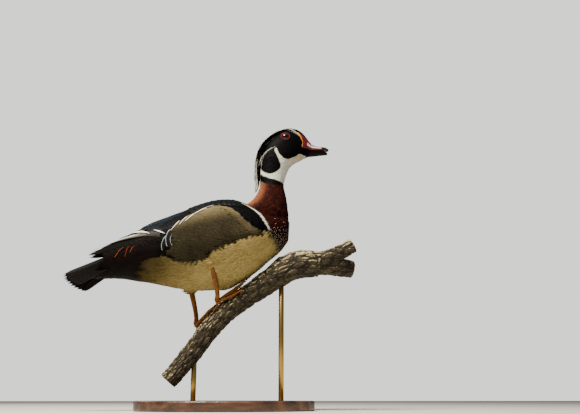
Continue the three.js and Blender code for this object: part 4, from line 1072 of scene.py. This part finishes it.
# Orange plumes that hang beside the rump
plumeRows = [[-154.5, 71, -165, 96, 1.3, -0.8, 2.2, 3.4], [-146, 73, -149, 102, 3.4, -0.8, 2.8, 4.4],
             [-137.5, 77, -142.5, 92, 1.6, -0.8, 1.8, 2.6]]
plumeLook = {"rows": 14, "columns": 2, "seed": 27, "camber": 0.2, "thickness": 0.2, "tipFrom": 0.55,
             "root": 0.6, "point": 0.15, "bend": 2}
# Loose silky barbs: saturated orange threads on the dark rump
orange = vaneMaterial("keratinOrangePlume", [(0.2, "#74240c"), (0.8, "#b8571c")], (), 0.6, 0.2)
laidFeathers("rumpPlumes", trunkPoint, bothSides(plumeRows), plumeLook, orange, marks={})

# Tail

tailRows = [[0, 6.6 + 1.2 * i, 104 - 0.45 * i ** 2, 6.6 + 5.2 * i, 15, 1.05 * -i, 1.05 * -i, 1.05 * -i]
            for i in range(8)]
# The second number of a tail row is mm down the fan's slope
tailLook = {"rows": 26, "columns": 8, "seed": 31, "camber": 0.5, "thickness": 0.35, "tipFrom": 0.82,
            "root": 0.6, "point": 0.2}
laidFeathers("rectrices", tailPoint, bothSides(tailRows), tailLook, darkVane, ["tail"], 1, {})
rng = np.random.default_rng(32)
tailCovertRows = []
for x in np.arange(-194, -112, 9):
    for degrees in np.arange(4, 100, 8):
        end = x + 0.1 * degrees
        near = degrees + rng.uniform(-1, 1)
        tailCovertRows.append([end + 34, degrees * 0.9, end, near, 13, -3.6, -2.9, -2])
laidFeathers("tailCoverts", trunkPoint, bothSides(tailCovertRows), {**scapularLook, "seed": 33}, bodyFeather)
underRows = []
for x in np.arange(-210, -140, 10):
    for degrees in np.arange(97, 178, 9):
        end = x + 0.35 * (178 - degrees)
        near = degrees + rng.uniform(-1, 1)
        underRows.append([end + 34, degrees, end, near, 15, -3, 1, mix(1, 8, smooth(end, -150, -210))])
laidFeathers("undertailCoverts", trunkPoint, bothSides(underRows), {**scapularLook, "seed": 34}, bodyFeather)

# Crest: long silky feathers that fall from the crown over the nape

crestRise = through([[2.6, 2.4], [3.2, 5.6], [3.8, 7.6], [4.7, 8.8], [5.5, 9.8], [6.4, 10.8], [7.1, 9.8],
                     [7.7, 8.8], [8.3, 7.2], [8.9, 5.2], [9.6, 3.4], [10.6, 1.9], [11.4, 1]])
browPath, cheekPath = [through([row[:2] for row in reversed(markings[key])])
                       for key in ("browLine", "cheekLine")]
browLane, cheekLane = 34.5, 62  # the lanes whose feathers run under the two white lines
rng = np.random.default_rng(41)
crestRows, crestWhite = [], []
# First rib, last rib, share of the rise, reach to the side
crestTiers = ((5.4, 3.3, 0.08, 44), (6.1, 3.3, 0.16, 44), (6.8, 3.3, 0.25, 44), (7.4, 3.3, 0.33, 44),
              (8.2, 3.3, 0.42, 44), (8.7, 3.4, 0.6, 44), (9.2, 3.7, 0.78, 43), (9.7, 4.3, 0.9, 41),
              (10.3, 5.4, 0.98, 38), (10.8, 6.8, 1, 30), (11.1, 8.4, 1, 22))
for first, last, lift, reachOut in crestTiers:
    for place in np.arange(-reachOut, reachOut + 0.1, 1.9):
        lane = place + rng.uniform(-0.5, 0.5)
        beside = abs(abs(lane) - browLane)
        isWhite = 8 < first < 9.5 and beside < 3.6
        start = first - 0.012 * abs(lane) + rng.uniform(-0.2, 0.2)
        tip = (3.1 if isWhite else last + 0.012 * abs(lane)) + rng.uniform(0, 0.35)
        side = (1 - (abs(lane) / 49) ** 6) * mix(0.9, 1, smooth(abs(lane), 18, 32))
        heights = [-1 if s == 0 else float(crestRise(mix(start, tip, s))[0]) * lift * side + 0.2
                   for s in (0, 0.5, 1)]
        crestRows.append([start, lane, tip, lane, 2.3] + heights)
        crestWhite.append(isWhite)
crestLook = {"rows": 20, "columns": 2, "seed": 42, "camber": 0.3, "thickness": 0.2, "tipFrom": 0.6,
             "root": 0.5, "point": 0.1, "bend": 2, "path": lambda place: browPath(place)[..., 0] / browLane}


# The share of white of each feather, repeated over its points
def whiteMarks(white, look):
    rows, columns = look["rows"], look["columns"]
    pointsEach = (rows + 1) * (columns + 1) + (rows - 1) * (columns - 1)
    return {"white": np.repeat(np.asarray(white, float), pointsEach)}


laidFeathers("crestFeathers", neckPoint, crestRows, crestLook, glossFeather, ["crest"],
             marks=whiteMarks(crestWhite, crestLook))
# The white line behind the cheek, in fine long feathers that run out into the crest
cheekRise = through([[3, 3], [3.4, 4.4], [4, 6.4], [5, 6], [5.4, 4.8], [5.9, 3.2], [6.4, 1.6], [7, 0.6],
                     [8, 0.2]])
cheekRows = []
for start in np.arange(7.9, 4.4, -0.25):
    for lane in (-0.8, 0, 0.8):
        lane = cheekLane + lane * smooth(start, 7.4, 6.2)
        width = mix(0.45, 1.3, smooth(start, 7.9, 6.4))
        tip = max(3.2, start - 1.8)
        heights = [float(cheekRise(mix(start, tip, s))[0]) for s in (0.5, 1)]
        cheekRows.append([start, lane, tip, lane, width, -0.5] + heights)
# The white line from the bill over the eye and down the crest's side, in fine feathers on top of it
browRows = []
for start in np.arange(11.35, 5.4, -0.16):
    tip = start - mix(1.6, 1.1, smooth(start, 10, 11))
    heights = [-0.3 if start > 10.5 else 0.8 * float(crestRise(start)[0])]
    heights += [max(1, 0.9 * float(crestRise(mix(start, tip, s))[0]) + 0.5) for s in (0.5, 1)]
    width = mix(0.8, 1.5, smooth(start, 10, 6.5))
    for shift in (-0.4, 0.4):
        browRows.append([start, browLane + shift, tip, browLane + shift, width] + heights)
browLook = {**crestLook, "rows": 12, "seed": 44, "bend": 0.5, "camber": 0.15}
laidFeathers("browLineFeathers", neckPoint, bothSides(browRows), browLook, glossFeather,
             marks=whiteMarks([1] * (2 * len(browRows)), browLook))
cheekLook = {**crestLook, "rows": 10, "seed": 43, "bend": 0.4, "camber": 0.15,
             "path": lambda place: cheekPath(place)[..., 0] / cheekLane}
laidFeathers("cheekLineFeathers", neckPoint, bothSides(cheekRows), cheekLook, glossFeather,
             marks=whiteMarks([1] * (2 * len(cheekRows)), cheekLook))
print("large feathers done")

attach(skin, body)
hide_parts("torso", "neck", "head")
skin.data.materials.append(bodyFeather)


# Bill, lids, eyes

# Keratin of the bill: red at its base, a yellow edge, a white patch, and black on the ridge and nail
def billMaterial():
    material, tree, shader = newMaterial("billKeratin")
    marks = addNode(tree, "ShaderNodeAttribute", {"attribute_name": "billMarks"}).outputs["Vector"]
    gold, pale, dark = addNode(tree, "ShaderNodeSeparateXYZ", None, [marks]).outputs
    blotches = mottling(tree, 2.2)
    red = addNode(tree, "ShaderNodeValToRGB", {"stops": [(0.3, "#3e0610"), (0.7, "#6a0e17")]}, [blotches])
    bone = addNode(tree, "ShaderNodeValToRGB", {"stops": [(0.3, "#b9b3a2"), (0.7, "#e6e1d2")]}, [blotches])
    color = addNode(tree, "ShaderNodeMix", colors, [pale, red, bone])
    color = addNode(tree, "ShaderNodeMix", colors, [dark, color, "#0b0a0b"])
    color = addNode(tree, "ShaderNodeMix", colors, [gold, color, "#c9841c"])
    bump = addNode(tree, "ShaderNodeBump", None,
                   {"Strength": 0.15, "Distance": 0.0003, "Height": mottling(tree, 0.8, 2, (0.4, 1, 1))})
    feed(shader, {"Base Color": color, "Roughness": 0.34, "Coat Weight": 0.12, "Normal": bump})
    return material


# Where the colours of a plain piece are baked: it is laid flat, its left half beside its right
def flatBake(mesh, axes=(0, 2)):
    points = vertices(mesh)
    low, high = points.min(0), points.max(0)
    share = (points - low) / (high - low).max()
    uv = np.stack([share[:, axes[0]], share[:, axes[1]]], -1)
    uv[:, 0] = 0.5 + (0.02 + uv[:, 0] * 0.46) * np.where(points[:, 1] > 0, 1, -1)
    setUv(mesh, "OFBake", uv[cornerVertices(mesh)])


# A soft copy of some CAD nodes, finished as the piece that takes their place
def softPiece(name, nodes, voxel, passes, material, axes=(0, 2)):
    piece = softCopy(name, nodes, voxel, passes)
    flatBake(piece.data, axes)
    return finishPiece(piece, nodes, material)


def billMarks(mesh):
    x, y, z = vertices(mesh).T
    border = stripeDistance(x, z, [(113.8, 440.5, 1), (118.6, 433.4, 0.9), (121.4, 425, 0.7),
                                   (121, 416, 0.4)])
    gold = 1 - smooth(border, -0.2, 0.4)
    white = outlineDistance(x, z, [(130.5, 424.6), (135.8, 421.8), (145, 420.4), (155, 418.9), (154.5, 417.6),
                                   (143, 417.4), (134, 417.8), (130, 419.8)])
    pale = (1 - smooth(white, -0.5, 0.5)) * smooth(np.abs(y), 2.5, 3.5)
    # The ridge: how far below the bill's profile
    stations = (113, 120, 126, 132, 138, 148, 158)
    profile = np.interp(x, stations, [z[np.abs(x - station) < 1].max(initial=0) for station in stations])
    dark = 1 - smooth(profile - z, mix(2.4, 1, smooth(x, 132, 150)), mix(3.2, 1.7, smooth(x, 132, 150)))
    dark = np.maximum(dark * smooth(x, 113, 117), smooth(x, 154, 158))
    values = np.stack([gold, pale, dark], -1)
    attribute = mesh.attributes.new("billMarks", "FLOAT_VECTOR", "POINT")
    attribute.data.foreach_set("vector", values.astype(np.float32).ravel())


billUpper = softCopy("billUpper", ["bill_upper"], voxel=0.35, passes=5)
billMarks(billUpper.data)
flatBake(billUpper.data)
finishPiece(billUpper, ["bill_upper"], billMaterial())
# Black horn of the lower bill and the claws: dull, with hardly any shine
darkKeratin, tree, shader = newMaterial("blackKeratin")
feed(shader, {"Base Color": "#040404", "Roughness": 0.55, "Specular IOR Level": 0.1})
softPiece("billLower", ["bill_lower"], 0.35, 5, darkKeratin)

# Bare skin round the eye: dark red, matt and finely wrinkled
lidSkin, tree, shader = newMaterial("lidSkinRed")
flush = addNode(tree, "ShaderNodeValToRGB", {"stops": [(0.3, "#240207"), (0.7, "#66070d")]},
                [mottling(tree, 1.2)])
bump = addNode(tree, "ShaderNodeBump", None,
               {"Strength": 0.5, "Distance": 0.0003, "Height": mottling(tree, 0.6, 2)})
feed(shader, {"Base Color": flush, "Roughness": 0.5, "Specular IOR Level": 0.15, "Normal": bump})

# Fleshy ring round the eye: mm from its middle to the crest of the ring, its width and rise
lidLook = {"reach": 6.6, "width": 0.7, "rise": 0.7, "sunk": 0.3, "long": 1.07, "high": 0.97, "droop": 0.4,
           "around": 120, "section": 18}


def eyeSocket(side):
    ring = vertices(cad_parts["eye_lid_" + side].data)
    middle = (ring.min(0) + ring.max(0)) / 2
    _, _, axes = np.linalg.svd(ring - ring.mean(0), full_matrices=False)
    facing = axes[2] * np.sign(axes[2][1]) * (1 if side == "left" else -1)
    right = np.cross([0, 0, 1], facing)
    right /= np.linalg.norm(right)
    return middle, facing, right, np.cross(facing, right)


def makeLid(side):
    middle, facing, right, up = eyeSocket(side)
    around, section = lidLook["around"], lidLook["section"]
    turns = np.linspace(0, 2 * np.pi, around, endpoint=False)[:, None]
    profile = np.linspace(0, 2 * np.pi, section, endpoint=False)[None, :]
    fold = 1 + 0.08 * np.sin(17 * turns) + 0.05 * np.sin(29 * turns + 1)
    reach = lidLook["reach"] + lidLook["width"] * np.cos(profile)
    reach = reach - lidLook["droop"] * np.clip(np.sin(turns), 0, 1) * (np.cos(profile) < 0)
    rise = lidLook["rise"] * np.sin(profile) * fold - lidLook["sunk"] - 0.25 * np.cos(profile)
    sideways = (reach * lidLook["long"] * np.cos(turns))[..., None] * right
    upward = (reach * lidLook["high"] * np.sin(turns))[..., None] * up
    points = (middle + sideways + upward + rise[..., None] * facing).reshape(-1, 3)
    faces = []
    for i in range(around):
        here, there = i * section, (i + 1) % around * section
        for j in range(section):
            k = (j + 1) % section
            faces.append((here + j, there + j, there + k, here + k))
    return newObject("eyeLid" + side.title(), buildMesh("eyeLid" + side.title(), points, faces))


for side in ("left", "right"):
    lid = makeLid(side)
    flatBake(lid.data)
    finishPiece(lid, ["eye_lid_" + side], lidSkin)


# One ball of glass a side, in mm; its stops run from the dark edge over the red iris to the black pupil
eyeLook = {"radius": 7.58, "around": 48, "rings": 30, "pole": 0.06,
           "stops": [(0.66, "#120102"), (0.72, "#3c0506"), (0.8, "#5c0908"), (0.82, "#050304"),
                     (1, "#020202")]}


# Blown glass: clear and bright over the painted iris and pupil
def eyeMaterial(name, centre, facing):
    material, tree, shader = newMaterial(name)
    place = addNode(tree, "ShaderNodeTexCoord").outputs["Object"]
    off = addNode(tree, "ShaderNodeVectorMath", minus, [place, tuple(mm(centre))])
    turned = addNode(tree, "ShaderNodeVectorMath", {"operation": "NORMALIZE"}, [off])
    front = addNode(tree, "ShaderNodeVectorMath", {"operation": "DOT_PRODUCT"}, [turned, tuple(facing)])
    color = addNode(tree, "ShaderNodeValToRGB", {"stops": eyeLook["stops"]}, [front.outputs["Value"]])
    feed(shader, {"Base Color": color, "Roughness": 0.2, "Specular IOR Level": 0.1, "Coat Weight": 0.8,
                  "Coat Roughness": 0.02})
    return material


for side in ("left", "right"):
    source = vertices(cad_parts["eye_" + side].data)
    centre = (source.min(0) + source.max(0)) / 2
    facing = eyeSocket(side)[1]
    turns = np.linspace(0, 2 * np.pi, eyeLook["around"], endpoint=False)
    rises = np.linspace(eyeLook["pole"], np.pi - eyeLook["pole"], eyeLook["rings"])
    rings = np.stack([np.sin(rises)[:, None] * np.cos(turns), np.sin(rises)[:, None] * np.sin(turns),
                      np.cos(rises)[:, None] + 0 * turns], -1) * eyeLook["radius"] + centre
    points, faces = loft(rings[::-1])
    ball = newObject("eyeBall" + side.title(), buildMesh("eyeBall" + side.title(), points, faces))
    flatBake(ball.data)
    finishPiece(ball, ["eye_" + side], eyeMaterial("eyeGlass" + side.title(), centre, facing))

# Legs, feet, claws

# Horny scales about 1.4 mm across: ochre with dark seams
legSkin, tree, shader = newMaterial("legScales")
place = addNode(tree, "ShaderNodeTexCoord").outputs["Object"]
cells = addNode(tree, "ShaderNodeTexVoronoi", {"feature": "DISTANCE_TO_EDGE"},
                {"Vector": place, "Scale": 1 / mm(1.4)})
seams = addNode(tree, "ShaderNodeValToRGB", {"stops": [(0.0, 0.0), (0.15, 1.0)]}, [cells.outputs["Distance"]])
tone = addNode(tree, "ShaderNodeMix", shares, [0.5, mottling(tree, 5), seams])
ochre = [(0.25, "#251205"), (0.55, "#6c3b0e"), (0.8, "#925a1a")]
color = addNode(tree, "ShaderNodeValToRGB", {"stops": ochre}, [tone])
bump = addNode(tree, "ShaderNodeBump", None,
               {"Strength": 0.5, "Distance": 0.0004, "Height": cells.outputs["Distance"]})
feed(shader, {"Base Color": color, "Roughness": 0.5, "Specular IOR Level": 0.2, "Normal": bump})
for side in ("left", "right"):
    for kind in ("leg", "foot"):
        softPiece(kind + side.title(), [kind + "_" + side], 0.45, 5, legSkin)
    clawNodes = [f"claw_{side}_{i}" for i in range(1, 5)]
    softPiece("claws" + side.title(), clawNodes, 0.2, 2, darkKeratin)
print("bill, eyes and legs done")

# Perch: a cut length of dead branch

# Middles of the three sawn ends and the way they face
branchEnds = [((-80, 2, 43), (-25, 1, -29)), ((202, -9, 216), (18, 2, -2.5)),
              ((200, -29, 251), (20, -3, 11.5))]
barkLook = {"bark": [(0.3, "#0e0c08"), (0.45, "#28221a"), (0.6, "#4a4232"), (0.75, "#6a6048")],
            "sunlitTop": [(0.35, "#8d7f5c"), (0.65, "#b8ab85")], "wood": [(0.2, "#8a6a42"), (0.7, "#c9a876")]}
# Dead bark with lifted flakes: dark and dull in the cracks, with painted sunlight making the upper side pale
bark, tree, shader = newMaterial("deadBarkSunlitTop")
coarse = mottling(tree, 14, 4)
fine = mottling(tree, 2.0, 5, (0.6, 1, 1))
flakes, cut, rings = [addNode(tree, "ShaderNodeAttribute", {"attribute_name": name}).outputs["Fac"]
                      for name in ("flakes", "cut", "rings")]
up = addNode(tree, "ShaderNodeNewGeometry").outputs["Normal"]
upward = addNode(tree, "ShaderNodeSeparateXYZ", None, [up]).outputs["Z"]
light = addNode(tree, "ShaderNodeMix", shares, [0.45, coarse, flakes])
light = addNode(tree, "ShaderNodeMix", shares, [0.45, light, fine])
color = addNode(tree, "ShaderNodeValToRGB", {"stops": barkLook["bark"]}, [light])
# Painted sunlight: pale flakes on the upper side, where the surface faces up
sunlitTop = addNode(tree, "ShaderNodeMath", times, [upward, 0.22])
sunlitTop = addNode(tree, "ShaderNodeMath", plus, [light, sunlitTop])
sunlitTop = addNode(tree, "ShaderNodeValToRGB", {"stops": [(0.62, 0.0), (0.72, 1.0)]}, [sunlitTop])
pale = addNode(tree, "ShaderNodeValToRGB", {"stops": barkLook["sunlitTop"]}, [fine])
color = addNode(tree, "ShaderNodeMix", colors, [sunlitTop, color, pale])
# End grain: year rings a little over 1 mm apart
grain = addNode(tree, "ShaderNodeMath", times, [rings, 5.2])
grain = addNode(tree, "ShaderNodeMath", sine, [grain])
grain = addNode(tree, "ShaderNodeMath", times, [grain, 0.5])
grain = addNode(tree, "ShaderNodeMath", plus, [grain, 0.5])
grain = addNode(tree, "ShaderNodeMix", shares, [0.35, grain, fine])
wood = addNode(tree, "ShaderNodeValToRGB", {"stops": barkLook["wood"]}, [grain])
color = addNode(tree, "ShaderNodeMix", colors, [cut, color, wood])
bump = addNode(tree, "ShaderNodeBump", None, {"Strength": 0.6, "Distance": 0.001, "Height": fine})
feed(shader, {"Base Color": color, "Roughness": 0.9, "Specular IOR Level": 0.25, "Normal": bump})
branch = softCopy("branch", ["perch"], voxel=1.0, passes=5)
points = vertices(branch.data)
normals = meshNormals(branch.data)
cutShare = np.zeros(len(points))
ringPlace = np.zeros(len(points))
for place, way in branchEnds:
    place, way = np.array(place, float), np.array(way, float) / np.linalg.norm(way)
    off = points - place
    depth = off @ way
    away = np.linalg.norm(off - depth[:, None] * way, axis=1)
    near = (np.abs(depth) < 5) & (away < 24)
    flat = near & (normals @ way > 0.8)
    cutShare[flat] = 1
    ringPlace[near] = away[near]
# How far along and above the middle of the branch, which climbs and then levels out
alongBranch = np.interp(points[:, 0], [-100, -40, 30, 90, 210], [0, 85, 180, 250, 375])
alongBranch = alongBranch + 0.5 * (points[:, 2] - 140)
aboveBranch = points[:, 2] - np.interp(points[:, 0], [-80, 30, 110, 200], [43, 165, 205, 222])
places = np.stack([alongBranch, points[:, 1], aboveBranch], -1)
rough = np.array([noise.fractal(Vector((p[0] * 0.06, p[1] * 0.15, p[2] * 0.15)), 1, 2.1, 5) for p in places])
cells = [noise.voronoi(Vector((p[0] * 0.045, p[1] * 0.13, p[2] * 0.13)))[0] for p in places]
plates = np.array([c[1] - c[0] for c in cells])
lift = np.clip(rough, -1, 1) * 0.9 + 1.3 * smooth(plates, 0.02, 0.3) - 1.5
points += normals * (lift * (1 - cutShare))[:, None]
branch.data.vertices.foreach_set("co", mm(points).astype(np.float32).ravel())
setFloats(branch.data, "flakes", 0.2 + 0.5 * smooth(plates, 0, 0.25) + 0.2 * np.clip(rough, -1, 1))
setFloats(branch.data, "cut", cutShare)
setFloats(branch.data, "rings", ringPlace)
flatBake(branch.data)
finishPiece(branch, ["perch"], bark)

# Oiled walnut: brown with long darker grain and a low gloss
walnut, tree, shader = newMaterial("oiledWalnut")
color = addNode(tree, "ShaderNodeValToRGB", {"stops": [(0.3, "#2c1a0f"), (0.5, "#4c3020"), (0.7, "#6a4830")]},
                [mottling(tree, 9, 5, (0.12, 1, 1))])
feed(shader, {"Base Color": color, "Roughness": 0.38, "Coat Weight": 0.15})

softPiece("standSlab", ["stand_base"], 1.5, 2, walnut, (0, 1))

# Brushed brass: a yellow metal with soft highlights
brass, tree, shader = newMaterial("brushedBrass")
feed(shader, {"Base Color": "#b08d4c", "Metallic": 1.0, "Roughness": 0.32})
rodLook = {"radius": 4, "bevel": 0.5, "around": 48, "places": {"rear": (-42, -1), "front": (88, -15)}}
for name, spot in rodLook["places"].items():
    node = vertices(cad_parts["stand_rod_" + name].data)
    low, high = node[:, 2].min(), node[:, 2].max()
    turns = np.linspace(0, 2 * np.pi, rodLook["around"], endpoint=False)
    radius, bevel = rodLook["radius"], rodLook["bevel"]
    heights = [(low, radius - bevel), (low + bevel, radius), (high - bevel, radius), (high, radius - bevel)]
    rings = np.array([[(spot[0] + r * math.cos(a), spot[1] + r * math.sin(a), z) for a in turns]
                      for z, r in heights])
    points, faces = loft(rings)
    bar = newObject("standRod" + name.title(), buildMesh("standRod" + name.title(), points, faces))
    flatBake(bar.data)
    finishPiece(bar, ["stand_rod_" + name], brass)
print("perch and stand done")

# Floor, light, camera

reach = 3000
corners = [(-reach, -reach, 0), (reach, -reach, 0), (reach, reach, 0), (-reach, reach, 0)]
floorMesh = buildMesh("floor", corners, [(0, 1, 2, 3)])
floor = newObject("floor", floorMesh)
# Smooth pale plaster: matt and neutral
plaster, tree, shader = newMaterial("palePlaster")
feed(shader, {"Base Color": "#d8d6cf", "Roughness": 0.9})
floorMesh.materials.append(plaster)


def addLight(name, place, target, size, watts, tint):
    light = bpy.data.lights.new(name, "AREA")
    light.shape = "DISK"
    light.size = size
    light.energy = watts
    light.color = linear(tint)[:3]
    lamp = bpy.data.objects.new(name, light)
    lamp.location = place
    lamp.rotation_euler = (Vector(target) - Vector(place)).to_track_quat("-Z", "Y").to_euler()
    bpy.context.scene.collection.objects.link(lamp)


addLight("skyLight", (-0.4, -0.55, 1.35), (0, 0, 0.25), 0.55, 55, "#fff6e4")
addLight("rearLight", (-0.9, 0.9, 1.0), (0, 0, 0.3), 0.7, 7, "#fff1dc")
# The room is brighter to the camera than it is as a light
world = bpy.data.worlds.new("paleRoom")
world.use_nodes = True
air = world.node_tree
seen = addNode(air, "ShaderNodeLightPath").outputs["Is Camera Ray"]
hue = addNode(air, "ShaderNodeMix", colors, [seen, "#b9c0c4", "#f2f3f0"])
strength = addNode(air, "ShaderNodeMix", shares, [seen, 0.38, 1.5])
feed(air.nodes["Background"], {"Color": hue, "Strength": strength})
bpy.context.scene.world = world

# The camera stands to the bird's right, low, and looks up at it
cameraLook = {"lens": 44.07, "sensor": 36, "place": (-0.032, -1.1025, 0.020), "pitch": 15, "yaw": 7}
cameraData = bpy.data.cameras.new("view")
cameraData.lens = cameraLook["lens"]
cameraData.sensor_width = cameraLook["sensor"]
camera = bpy.data.objects.new("view", cameraData)
camera.location = cameraLook["place"]
pitch, yaw = math.radians(cameraLook["pitch"]), math.radians(cameraLook["yaw"])
ahead = Vector((math.sin(yaw) * math.cos(pitch), math.cos(yaw) * math.cos(pitch), math.sin(pitch)))
camera.rotation_euler = ahead.to_track_quat("-Z", "Y").to_euler()
bpy.context.scene.collection.objects.link(camera)
bpy.context.scene.camera = camera
